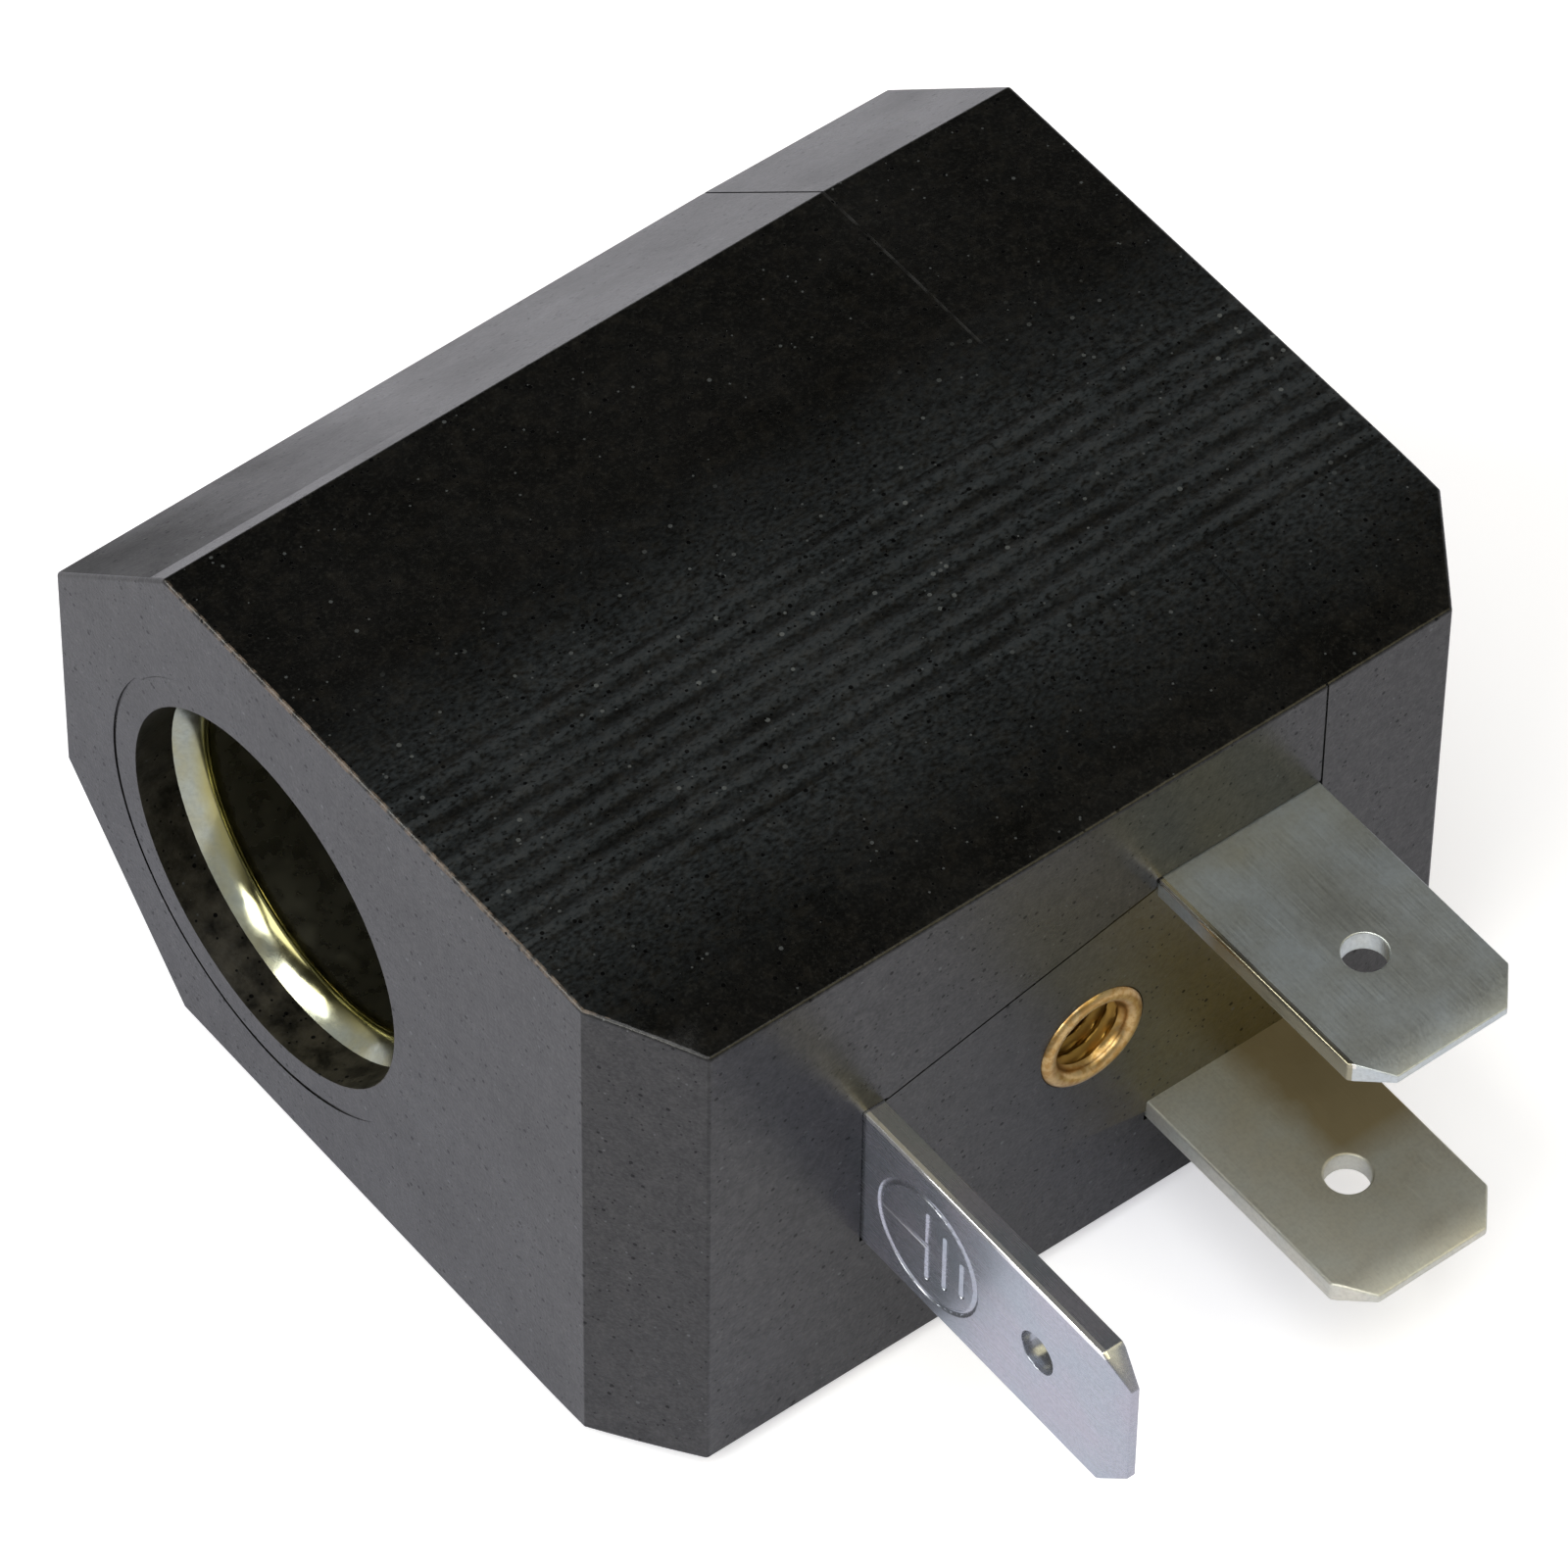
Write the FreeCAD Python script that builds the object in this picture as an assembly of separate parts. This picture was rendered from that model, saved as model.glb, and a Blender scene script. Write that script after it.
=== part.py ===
import FreeCAD, Part
import math
import os

# Encapsulated solenoid valve coil with three flat-blade terminals, in millimetres.
# X runs along the bore from the front face to the back, Z is up and the blades point along -Y.
# The origin is on the bore axis, in the plane of the front face.

# Moulded body, measured from the bore axis at the parting plane
body_length = 33.0
bore_to_top = 11.0
bore_to_bottom = 10.4
bore_to_far_side = 10.8
bore_to_terminal_face = 19.85
parting_from_back = 7.5
draft_degrees = 0.5
upper_chamfer_y = 6.0
upper_chamfer_z = 5.3
lower_chamfer_y = 6.0
lower_chamfer_z = 7.0
front_corner_x = 2.2
back_corner_x = 2.6
corner_y = 3.7
face_fall = 0.55
face_fall_width = 6.0
edge_radius = 0.15
end_wall = 1.4
plate_wall = 1.5

# Mould marks on the skin
parting_mark_width = 0.08
parting_mark_depth = 0.05
collar_mark_radius = 7.8
collar_mark_width = 0.14
collar_mark_depth = 0.06
seam_width = 0.08
seam_depth = 0.1
rib_count = 8
rib_pitch = 0.94
rib_width = 0.34
rib_height = 0.05
rib_first_y = -6.6

# Bore, its steel bushes and the bobbin
bore_radius = 6.1
bush_wall = 0.8
bush_length = 7.0
bush_mouth_radius = 0.6
bobbin_bore_clearance = 0.1
bobbin_wall = 0.8
flange_thickness = 1.0
flange_rise = 0.2
winding_height = 1.4
tape_thickness = 0.2

# Steel yoke, a strip bent to a C
yoke_thickness = 1.6
yoke_bend_radius = 0.6
yoke_web_width = 12.0
yoke_web_clearance = 0.2
yoke_neck_depth = 1.0

# Flat blades
blade_width = 6.3
blade_thickness = 0.8
blade_pitch = 11.0
blade_chamfer_x = 1.0
blade_chamfer_y = 1.15
blade_bevel_length = 1.0
blade_bevel_depth = 0.24
blade_hole_diameter = 1.5
blade_hole_from_tip = 4.1
power_blade_from_insert = 5.5
power_blade_reach = 10.0
power_blade_seat = 4.7
solder_tag_width = 2.2
solder_tag_length = 2.8
earth_blade_from_insert = 8.45
earth_blade_reach = 12.3
earth_foot_length = 4.9
earth_bend_radius = 0.5
earth_mark_radius = 2.3
earth_mark_from_face = 3.0
earth_mark_drop = 0.25
earth_mark_stroke = 0.26
earth_mark_depth = 0.07
earth_mark_bar_gap = 0.82
earth_mark_bar_lengths = (3.0, 2.3, 1.4)

# Rivet that holds the earth blade's foot on the yoke
rivet_radius = 1.0
rivet_head_radius = 1.7
rivet_head_height = 0.7

# Terminal block and its brass thread insert
block_front_half_height = 2.9
insert_from_middle = 0.3
insert_outer_diameter = 4.0
insert_thread_diameter = 3.0
insert_thread_pitch = 0.5
insert_length = 6.5
insert_proud = 0.1
insert_rim_radius = 0.25
insert_countersink = 0.4
insert_groove_depth = 0.25
insert_groove_width = 0.8
insert_screw_relief = 0.8

# Winding ends
lead_diameter = 0.3
lead_exit_degrees = 50.0
lead_rise = 0.9
lead_bend_radius = 0.6
lead_over_tag = 0.05
lead_on_tag = 1.5
lead_slope_length = 1.6
lead_plug_in = 0.4
sleeve_outer_diameter = 0.9
sleeve_inner_diameter = 0.4
sleeve_end_margin = 0.8
solder_radius = 0.9
solder_height = 0.75

# Places worked out from the driving dimensions
draft_slope = math.tan(math.radians(draft_degrees))
bush_outer_radius = bore_radius + bush_wall
mouth_radius = bore_radius + bush_mouth_radius
bobbin_inner_radius = bore_radius + bobbin_bore_clearance
bobbin_outer_radius = bush_outer_radius + bobbin_wall
winding_outer_radius = bobbin_outer_radius + winding_height
tape_outer_radius = winding_outer_radius + tape_thickness
flange_radius = tape_outer_radius + flange_rise
bobbin_front = end_wall + yoke_thickness
bobbin_back = body_length - bobbin_front
winding_front = bobbin_front + flange_thickness
winding_back = bobbin_back - flange_thickness
web_inner_y = -(flange_radius + yoke_web_clearance)
web_outer_y = web_inner_y - yoke_thickness
terminal_face_y = -bore_to_terminal_face
parting_from_front = body_length - parting_from_back
insert_x = body_length / 2 + insert_from_middle
earth_blade_x = insert_x - earth_blade_from_insert
power_blade_x = insert_x + power_blade_from_insert
power_blade_z = blade_pitch / 2
power_blade_left = power_blade_x - blade_width / 2
power_blade_right = power_blade_x + blade_width / 2
solder_tag_x = power_blade_right - solder_tag_width / 2
insert_thread_radius = (insert_thread_diameter - insert_thread_pitch) / 2
insert_outer_radius = insert_outer_diameter / 2
insert_mouth_y = terminal_face_y - insert_proud
insert_end_y = insert_mouth_y + insert_length
lead_radius = lead_diameter / 2

# A cutter reaches this far past the face that it opens
overshoot = 1.0

# Edges of the form that turn by less than this are tangent or nearly so, and aren't rounded
least_corner_degrees = 15.0

# Two places nearer than this count as the same when edges are picked
same_place = 0.05

x_axis = FreeCAD.Vector(1, 0, 0)
y_axis = FreeCAD.Vector(0, 1, 0)
z_axis = FreeCAD.Vector(0, 0, 1)
origin = FreeCAD.Vector(0, 0, 0)


def box(x_range, y_range, z_range):
    """Box between the given limits along each axis."""
    size = [high - low for low, high in (x_range, y_range, z_range)]
    return Part.makeBox(*size, FreeCAD.Vector(x_range[0], y_range[0], z_range[0]))


def closed_wire(points):
    """Straight-sided closed wire through the points."""
    return Part.makePolygon([*points, points[0]])


def prism(points, direction):
    """Solid swept from the flat polygon along the direction."""
    return Part.Face(closed_wire(points)).extrude(direction)


def bore_revolve(profile):
    """Solid of revolution about the bore axis from (x, radius) corners."""
    points = [FreeCAD.Vector(x, 0, radius) for x, radius in profile]
    return Part.Face(closed_wire(points)).revolve(origin, x_axis, 360)


def bore_cylinder(radius, x_range):
    """Cylinder on the bore axis."""
    return Part.makeCylinder(radius, x_range[1] - x_range[0], FreeCAD.Vector(x_range[0], 0, 0), x_axis)


def outward_cylinder(radius, x, z, y_range):
    """Cylinder whose axis runs along Y, between two depths."""
    return Part.makeCylinder(radius, y_range[1] - y_range[0], FreeCAD.Vector(x, y_range[0], z), y_axis)


def far_chamfer_corners(height, chamfer_y, chamfer_z, inset):
    """Both ends of a far-side chamfer, as (y, height), with every side moved in by the inset."""
    slant = math.hypot(chamfer_y, chamfer_z)
    level = chamfer_z * (bore_to_far_side - chamfer_y) + chamfer_y * height - inset * slant
    on_top = (level - chamfer_y * (height - inset)) / chamfer_z
    on_side = (level - chamfer_z * (bore_to_far_side - inset)) / chamfer_y
    return (on_top, height - inset), (bore_to_far_side - inset, on_side)


def upper_corners(inset):
    """Ends of the chamfer between the top and the far side."""
    return far_chamfer_corners(bore_to_top, upper_chamfer_y, upper_chamfer_z, inset)


def lower_corners(inset):
    """Ends of the chamfer between the far side and the bottom, with heights counted downwards."""
    return far_chamfer_corners(bore_to_bottom, lower_chamfer_y, lower_chamfer_z, inset)


def fall_arc(height, inset):
    """Start, middle and end, as (y, height), of the arc in which a face falls to the terminal face."""
    radius = (face_fall_width ** 2 + face_fall ** 2) / (2 * face_fall)
    start_y = terminal_face_y + face_fall_width
    centre_height = height - radius
    moved = radius - inset
    end_angle = math.asin((face_fall_width - inset) / moved)
    places = []
    for angle in (0, end_angle / 2, end_angle):
        places.append((start_y - moved * math.sin(angle), centre_height + moved * math.cos(angle)))
    return places


def section_edges(x, inset):
    """Edges of the moulded body's outline at one station, with every side moved in by the inset."""
    upper_top, upper_side = upper_corners(inset)
    lower_top, lower_side = lower_corners(inset)
    upper_arc = [FreeCAD.Vector(x, y, height) for y, height in fall_arc(bore_to_top, inset)]
    lower_arc = [FreeCAD.Vector(x, y, -height) for y, height in fall_arc(bore_to_bottom, inset)]
    far_low = FreeCAD.Vector(x, lower_side[0], -lower_side[1])
    far_high = FreeCAD.Vector(x, *upper_side)
    top_far = FreeCAD.Vector(x, *upper_top)
    bottom_far = FreeCAD.Vector(x, lower_top[0], -lower_top[1])
    return [
        Part.makeLine(far_low, far_high),
        Part.makeLine(far_high, top_far),
        Part.makeLine(top_far, upper_arc[0]),
        Part.Arc(*upper_arc).toShape(),
        Part.makeLine(upper_arc[-1], lower_arc[-1]),
        Part.Arc(*reversed(lower_arc)).toShape(),
        Part.makeLine(lower_arc[0], bottom_far),
        Part.makeLine(bottom_far, far_low),
    ]


def section_face(x, inset):
    """Flat face inside the moulded body's outline at one station."""
    return Part.Face(Part.Wire(section_edges(x, inset)))


def drafted_side(first, second):
    """Face between matching edges of two sections, flat where the edges are straight."""
    if not isinstance(first.Curve, Part.Line):
        return Part.makeRuledSurface(first, second)
    start, end = [vertex.Point for vertex in first.Vertexes]
    far_start, far_end = [vertex.Point for vertex in second.Vertexes]
    return Part.Face(closed_wire([start, end, far_end, far_start]))


def drafted_length(first_x, first_inset, second_x, second_inset):
    """Solid stretch of the moulded form between two stations."""
    first = section_edges(first_x, first_inset)
    second = section_edges(second_x, second_inset)
    faces = [drafted_side(near, far) for near, far in zip(first, second)]
    faces.append(section_face(first_x, first_inset))
    faces.append(section_face(second_x, second_inset))
    shell = Part.makeShell(faces)
    shell.sewShape()
    return Part.makeSolid(shell)


def corner_cutter(end_x, inward, corner_x):
    """Prism that takes off the upright corner between an end face and the terminal face."""
    step_x = inward * corner_x
    places = [
        (end_x + step_x, terminal_face_y),
        (end_x, terminal_face_y + corner_y),
        (end_x - step_x, terminal_face_y + 2 * corner_y),
        (end_x - step_x, terminal_face_y - corner_y),
        (end_x + 2 * step_x, terminal_face_y - corner_y),
    ]
    points = [FreeCAD.Vector(x, y, -body_length) for x, y in places]
    return prism(points, FreeCAD.Vector(0, 0, 2 * body_length))


def moulded_halves(skin):
    """Front and back halves of the body's drafted outer form, with its sides moved out by the skin."""
    front_inset = draft_slope * parting_from_front - skin
    back_inset = draft_slope * parting_from_back - skin
    front = drafted_length(0, front_inset, parting_from_front, -skin)
    back = drafted_length(parting_from_front, -skin, body_length, back_inset)
    front = front.cut(corner_cutter(0, 1, front_corner_x))
    back = back.cut(corner_cutter(body_length, -1, back_corner_x))
    return front, back


def moulded_form(skin):
    """Both halves of the outer form as one solid, with sharp edges."""
    front, back = moulded_halves(skin)
    return front.fuse(back)


def rounded_form():
    """Both halves of the outer form, each with its corners rounded, as one solid."""
    rounded = []
    for half in moulded_halves(0):
        corners = [edge for edge in half.Edges if is_outer_corner(edge, half)]
        rounded.append(half.makeFillet(edge_radius, corners))
    return rounded[0].fuse(rounded[1])


def is_outer_corner(edge, solid):
    """True for an edge away from the parting plane where two faces meet at a real corner."""
    middle = edge.valueAt((edge.FirstParameter + edge.LastParameter) / 2)
    if abs(middle.x - parting_from_front) < same_place:
        return False
    normals = []
    for face in solid.ancestorsOfType(edge, Part.Face):
        u, v = face.Surface.parameter(middle)
        normals.append(face.normalAt(u, v))
    return math.degrees(normals[0].getAngle(normals[1])) > least_corner_degrees


def parting_mark():
    """Shallow ring round the body where the mould halves meet."""
    start = parting_from_front - parting_mark_width / 2
    along = FreeCAD.Vector(parting_mark_width, 0, 0)
    outside = section_face(start, -overshoot).extrude(along)
    inside = section_face(start, parting_mark_depth).extrude(along)
    return outside.cut(inside)


def collar_mark(face_x, inward):
    """Shallow ring round the bore, left on an end face by the mould's core pin."""
    outer = collar_mark_radius + collar_mark_width / 2
    inner = collar_mark_radius - collar_mark_width / 2
    reach = sorted((face_x - inward * overshoot, face_x + inward * collar_mark_depth))
    return bore_cylinder(outer, reach).cut(bore_cylinder(inner, reach))


def top_ribs():
    """Fine raised lines along the top face."""
    raised = moulded_form(rib_height)
    ribs = []
    for index in range(rib_count):
        y = rib_first_y - index * rib_pitch
        band = box(
            (edge_radius, body_length - edge_radius),
            (y - rib_width / 2, y + rib_width / 2),
            (bore_to_top / 2 + flange_radius / 2, bore_to_top + overshoot),
        )
        ribs.append(raised.common(band))
    return ribs


def core_envelope():
    """Space that the bushes, bobbin, winding and open bore take from the moulding."""
    return bore_revolve([
        (-overshoot, 0),
        (-overshoot, mouth_radius),
        (end_wall, mouth_radius),
        (end_wall, bush_outer_radius),
        (bobbin_front, bush_outer_radius),
        (bobbin_front, flange_radius),
        (winding_front, flange_radius),
        (winding_front, tape_outer_radius),
        (winding_back, tape_outer_radius),
        (winding_back, flange_radius),
        (bobbin_back, flange_radius),
        (bobbin_back, bush_outer_radius),
        (body_length - end_wall, bush_outer_radius),
        (body_length - end_wall, mouth_radius),
        (body_length + overshoot, mouth_radius),
        (body_length + overshoot, 0),
    ])


def make_flux_bush(mouth_x, inward):
    """Thin steel sleeve with a rounded mouth, pressed into an end plate."""
    end_x = mouth_x + inward * bush_length
    round_x = mouth_x + inward * bush_mouth_radius
    halfway = bush_mouth_radius * math.sqrt(0.5)
    middle_x = round_x - inward * halfway
    middle_radius = mouth_radius - halfway
    mouth_start = FreeCAD.Vector(mouth_x, 0, mouth_radius)
    mouth_end = FreeCAD.Vector(round_x, 0, bore_radius)
    outer_mouth = FreeCAD.Vector(mouth_x, 0, bush_outer_radius)
    outer_end = FreeCAD.Vector(end_x, 0, bush_outer_radius)
    inner_end = FreeCAD.Vector(end_x, 0, bore_radius)
    edges = [
        Part.Arc(mouth_start, FreeCAD.Vector(middle_x, 0, middle_radius), mouth_end).toShape(),
        Part.makeLine(mouth_end, inner_end),
        Part.makeLine(inner_end, outer_end),
        Part.makeLine(outer_end, outer_mouth),
        Part.makeLine(outer_mouth, mouth_start),
    ]
    return Part.Face(Part.Wire(edges)).revolve(origin, x_axis, 360)


def make_bobbin():
    """Plastic spool: a tube with two flanges, bored out at each end for a bush."""
    bush_seat = end_wall + bush_length
    return bore_revolve([
        (bobbin_front, bush_outer_radius),
        (bobbin_front, flange_radius),
        (winding_front, flange_radius),
        (winding_front, bobbin_outer_radius),
        (winding_back, bobbin_outer_radius),
        (winding_back, flange_radius),
        (bobbin_back, flange_radius),
        (bobbin_back, bush_outer_radius),
        (body_length - bush_seat, bush_outer_radius),
        (body_length - bush_seat, bobbin_inner_radius),
        (bush_seat, bobbin_inner_radius),
        (bush_seat, bush_outer_radius),
    ])


def wound_ring(inner_radius, outer_radius):
    """Ring between the bobbin's flanges."""
    span = (winding_front, winding_back)
    return bore_cylinder(outer_radius, span).cut(bore_cylinder(inner_radius, span))


def plate_outline():
    """Outline of the yoke seen along the bore: the end plate, its neck and the web."""
    upper_top, upper_side = upper_corners(plate_wall)
    lower_top, lower_side = lower_corners(plate_wall)
    half_web = yoke_web_width / 2
    neck_y = web_inner_y + yoke_neck_depth
    shoulder_z = bore_to_bottom - plate_wall
    shoulder_y = neck_y + shoulder_z - half_web
    corners = [
        (web_outer_y, -half_web),
        (neck_y, -half_web),
        (shoulder_y, -lower_top[1]),
        (lower_top[0], -lower_top[1]),
        (lower_side[0], -lower_side[1]),
        upper_side,
        upper_top,
        (shoulder_y, upper_top[1]),
        (neck_y, half_web),
        (web_outer_y, half_web),
    ]
    return [FreeCAD.Vector(end_wall, y, z) for y, z in corners]


def make_yoke_frame():
    """Steel strip bent to a C: an end plate at each end of the bobbin and a web behind the blades."""
    far_y = bore_to_far_side
    height = (-bore_to_bottom, bore_to_top)
    outside = box((end_wall, body_length - end_wall), (web_outer_y, far_y), height)
    outer_bends = [edge for edge in outside.Edges if is_upright_at(edge, web_outer_y)]
    outside = outside.makeFillet(yoke_bend_radius + yoke_thickness, outer_bends)
    inside = box((bobbin_front, bobbin_back), (web_inner_y, far_y + overshoot), height)
    inner_bends = [edge for edge in inside.Edges if is_upright_at(edge, web_inner_y)]
    inside = inside.makeFillet(yoke_bend_radius, inner_bends)
    strip = outside.cut(inside)
    strip = strip.common(prism(plate_outline(), FreeCAD.Vector(body_length - 2 * end_wall, 0, 0)))
    strip = strip.cut(bore_cylinder(bush_outer_radius, (0, body_length)))
    return strip.cut(rivet_shank())


def is_upright_at(edge, y):
    """True for an edge that runs along Z at the given y."""
    first, last = edge.Vertexes[0].Point, edge.Vertexes[-1].Point
    along_z = abs(first.z - last.z) > overshoot
    return along_z and max(abs(first.y - y), abs(last.y - y)) < same_place


def blade(tip_reach, inner_y):
    """Flat blade in the XY plane: chamfered corners, a bevelled tip and a hole, centred on x = 0."""
    half = blade_width / 2
    tip_y = terminal_face_y - tip_reach
    shoulder_y = tip_y + blade_chamfer_y
    half_thickness = blade_thickness / 2
    outline = [
        (-half, inner_y),
        (-half, shoulder_y),
        (-half + blade_chamfer_x, tip_y),
        (half - blade_chamfer_x, tip_y),
        (half, shoulder_y),
        (half, inner_y),
    ]
    points = [FreeCAD.Vector(x, y, -half_thickness) for x, y in outline]
    solid = prism(points, FreeCAD.Vector(0, 0, blade_thickness))
    for side in (-1, 1):
        wedge = [
            FreeCAD.Vector(-blade_width, tip_y + blade_bevel_length, side * half_thickness),
            FreeCAD.Vector(-blade_width, tip_y, side * (half_thickness - blade_bevel_depth)),
            FreeCAD.Vector(-blade_width, tip_y - overshoot, side * (half_thickness - blade_bevel_depth)),
            FreeCAD.Vector(-blade_width, tip_y - overshoot, side * blade_thickness),
            FreeCAD.Vector(-blade_width, tip_y + blade_bevel_length, side * blade_thickness),
        ]
        solid = solid.cut(prism(wedge, FreeCAD.Vector(2 * blade_width, 0, 0)))
    hole_at = FreeCAD.Vector(0, tip_y + blade_hole_from_tip, -blade_thickness)
    hole = Part.makeCylinder(blade_hole_diameter / 2, 2 * blade_thickness, hole_at)
    return solid.cut(hole)


def make_power_terminal(side):
    """Blade with a narrow solder tag at its inner end, above or below the bore's level."""
    seat_y = terminal_face_y + power_blade_seat
    flat = blade(power_blade_reach, seat_y)
    flat.translate(FreeCAD.Vector(power_blade_x, 0, side * power_blade_z))
    middle = side * power_blade_z
    tag = box(
        (power_blade_right - solder_tag_width, power_blade_right),
        (seat_y, seat_y + solder_tag_length),
        (middle - blade_thickness / 2, middle + blade_thickness / 2),
    )
    return flat.fuse(tag).removeSplitter()


def groove_radius():
    """Radius of the round tool that presses the earth mark to its width and depth."""
    return (earth_mark_stroke ** 2 / 4 + earth_mark_depth ** 2) / (2 * earth_mark_depth)


def round_stroke(first, last):
    """Rod with round ends between two points."""
    radius = groove_radius()
    span = last - first
    rod = Part.makeCylinder(radius, span.Length, first, span)
    return rod.fuse([Part.makeSphere(radius, first), Part.makeSphere(radius, last)])


def earth_mark():
    """Tools of the stamped protective-earth symbol: a ring, a stem and three bars that get shorter."""
    face_x = earth_blade_x - blade_thickness / 2
    tool_x = face_x + earth_mark_depth - groove_radius()
    centre = FreeCAD.Vector(tool_x, terminal_face_y - earth_mark_from_face, -earth_mark_drop)
    strokes = [Part.makeTorus(earth_mark_radius, groove_radius(), centre, x_axis)]
    strokes.append(round_stroke(centre, centre + y_axis * earth_mark_radius))
    for index, length in enumerate(earth_mark_bar_lengths):
        middle = centre - y_axis * (index * earth_mark_bar_gap)
        half_bar = z_axis * (length / 2)
        strokes.append(round_stroke(middle - half_bar, middle + half_bar))
    return strokes


def make_earth_terminal():
    """Upright blade whose foot is bent along the yoke's web and riveted to it."""
    outer_x = earth_blade_x - blade_thickness / 2
    half = blade_width / 2
    upright = blade(earth_blade_reach, web_outer_y)
    upright.rotate(origin, y_axis, 90)
    upright.translate(FreeCAD.Vector(earth_blade_x, 0, 0))
    foot = box(
        (outer_x, earth_blade_x + blade_thickness / 2 + earth_foot_length),
        (web_outer_y - blade_thickness, web_outer_y),
        (-half, half),
    )
    bent = upright.fuse(foot).removeSplitter()
    heel_x = outer_x + blade_thickness / 2
    heel = [edge for edge in bent.Edges if is_upright_at(edge, web_outer_y) and edge_x(edge) < heel_x]
    bent = bent.makeFillet(earth_bend_radius + blade_thickness, heel)
    throat_x = outer_x + 2 * blade_thickness
    throat_y = web_outer_y - blade_thickness
    throat = [edge for edge in bent.Edges if is_upright_at(edge, throat_y) and edge_x(edge) < throat_x]
    bent = bent.makeFillet(earth_bend_radius, throat)
    return bent.cut(earth_mark()).cut(rivet_shank())


def earth_heel_space():
    """Stretch of the block beside the earth blade's bend, which the body's own moulding fills."""
    heel_radius = earth_bend_radius + blade_thickness
    start_x = earth_blade_x - blade_thickness / 2
    return box(
        (start_x - overshoot, start_x + heel_radius),
        (web_outer_y - heel_radius, web_outer_y),
        (-bore_to_bottom, bore_to_top),
    )


def edge_x(edge):
    """Place of an upright edge along the bore."""
    return edge.Vertexes[0].X


def rivet_x():
    """Place of the rivet along the bore, in the middle of the earth blade's foot."""
    return earth_blade_x + blade_thickness / 2 + earth_foot_length / 2


def rivet_shank():
    """Shank of the earth rivet, through the foot and the web."""
    return outward_cylinder(rivet_radius, rivet_x(), 0, (web_outer_y - blade_thickness, web_inner_y))


def make_earth_rivet():
    """Rivet with a flat round head on the foot and its other end flush inside the web."""
    foot_y = web_outer_y - blade_thickness
    head = outward_cylinder(rivet_head_radius, rivet_x(), 0, (foot_y - rivet_head_height, foot_y))
    crown = [edge for edge in head.Edges if edge.BoundBox.YMax < foot_y - rivet_head_height / 2]
    head = head.makeFillet(rivet_head_height / 2, crown)
    return head.fuse(rivet_shank()).removeSplitter()


def block_outline(margin):
    """Outline of the terminal block seen from outside, narrow at the earth blade and wide at the others."""
    left = earth_blade_x - blade_thickness / 2
    half_front = block_front_half_height + margin
    half_back = power_blade_z + margin
    right = power_blade_right + margin
    return [
        (left, half_front),
        (power_blade_left, half_back),
        (right, half_back),
        (right, -half_back),
        (power_blade_left, -half_back),
        (left, -half_front),
    ]


def block_prism(margin, y_range):
    """Terminal block's outline, swept between two depths."""
    points = [FreeCAD.Vector(x, y_range[0], z) for x, z in block_outline(margin)]
    return prism(points, FreeCAD.Vector(0, y_range[1] - y_range[0], 0))


def blade_gap(x, z, x_size, z_size):
    """Box round a blade's root, wider than the blade by the seam on every side."""
    half_x = x_size / 2 + seam_width
    half_z = z_size / 2 + seam_width
    return box(
        (x - half_x, x + half_x),
        (terminal_face_y - overshoot, terminal_face_y + overshoot),
        (z - half_z, z + half_z),
    )


def face_seam():
    """Shallow gap in the terminal face, round the block and round the blades."""
    block = block_prism(seam_width, (terminal_face_y - overshoot, terminal_face_y + overshoot))
    gaps = [blade_gap(earth_blade_x, 0, blade_thickness, blade_width)]
    for side in (-1, 1):
        gaps.append(blade_gap(power_blade_x, side * power_blade_z, blade_width, blade_thickness))
    return block.fuse(gaps).cut(moulded_form(-seam_depth))


def insert_bore_cutter():
    """Round hole in the block that takes the insert and leaves room for the screw's end."""
    seat = outward_cylinder(insert_outer_radius, insert_x, 0, (insert_mouth_y - overshoot, insert_end_y))
    relief_span = (insert_end_y - overshoot, insert_end_y + insert_screw_relief)
    return seat.fuse(outward_cylinder(insert_thread_diameter / 2, insert_x, 0, relief_span))


def make_threaded_insert():
    """Brass insert with a plain bore at its thread's core size and one retaining groove."""
    span = (insert_mouth_y, insert_end_y)
    sleeve = outward_cylinder(insert_outer_radius, insert_x, 0, span)
    rim = [edge for edge in sleeve.Edges if edge.BoundBox.YMax < insert_mouth_y + same_place]
    sleeve = sleeve.makeFillet(insert_rim_radius, rim)
    middle = (span[0] + span[1]) / 2
    groove_span = (middle - insert_groove_width / 2, middle + insert_groove_width / 2)
    groove = outward_cylinder(insert_outer_radius + overshoot, insert_x, 0, groove_span)
    groove = groove.cut(outward_cylinder(insert_outer_radius - insert_groove_depth, insert_x, 0, groove_span))
    bore = outward_cylinder(insert_thread_radius, insert_x, 0, (span[0] - overshoot, span[1] + overshoot))
    mouth = FreeCAD.Vector(insert_x, span[0], 0)
    wide_radius = insert_thread_radius + insert_countersink
    cone = Part.makeCone(wide_radius, insert_thread_radius, insert_countersink, mouth, y_axis)
    return sleeve.cut([groove, bore, cone])


def lead_route(side):
    """Corners of a winding end's route: out of the winding, past the web and down onto the solder tag."""
    turn = math.radians(lead_exit_degrees)
    inside = winding_outer_radius - lead_plug_in
    outside = tape_outer_radius + lead_rise
    tag_end_y = terminal_face_y + power_blade_seat + solder_tag_length
    tag_z = power_blade_z + blade_thickness / 2 + lead_over_tag + lead_radius
    high_z = outside * math.sin(turn)
    corners = [
        (-inside * math.cos(turn), inside * math.sin(turn)),
        (-outside * math.cos(turn), high_z),
        (tag_end_y + lead_slope_length, high_z),
        (tag_end_y, tag_z),
        (tag_end_y - lead_on_tag, tag_z),
    ]
    return [FreeCAD.Vector(solder_tag_x, y, side * z) for y, z in corners]


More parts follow.
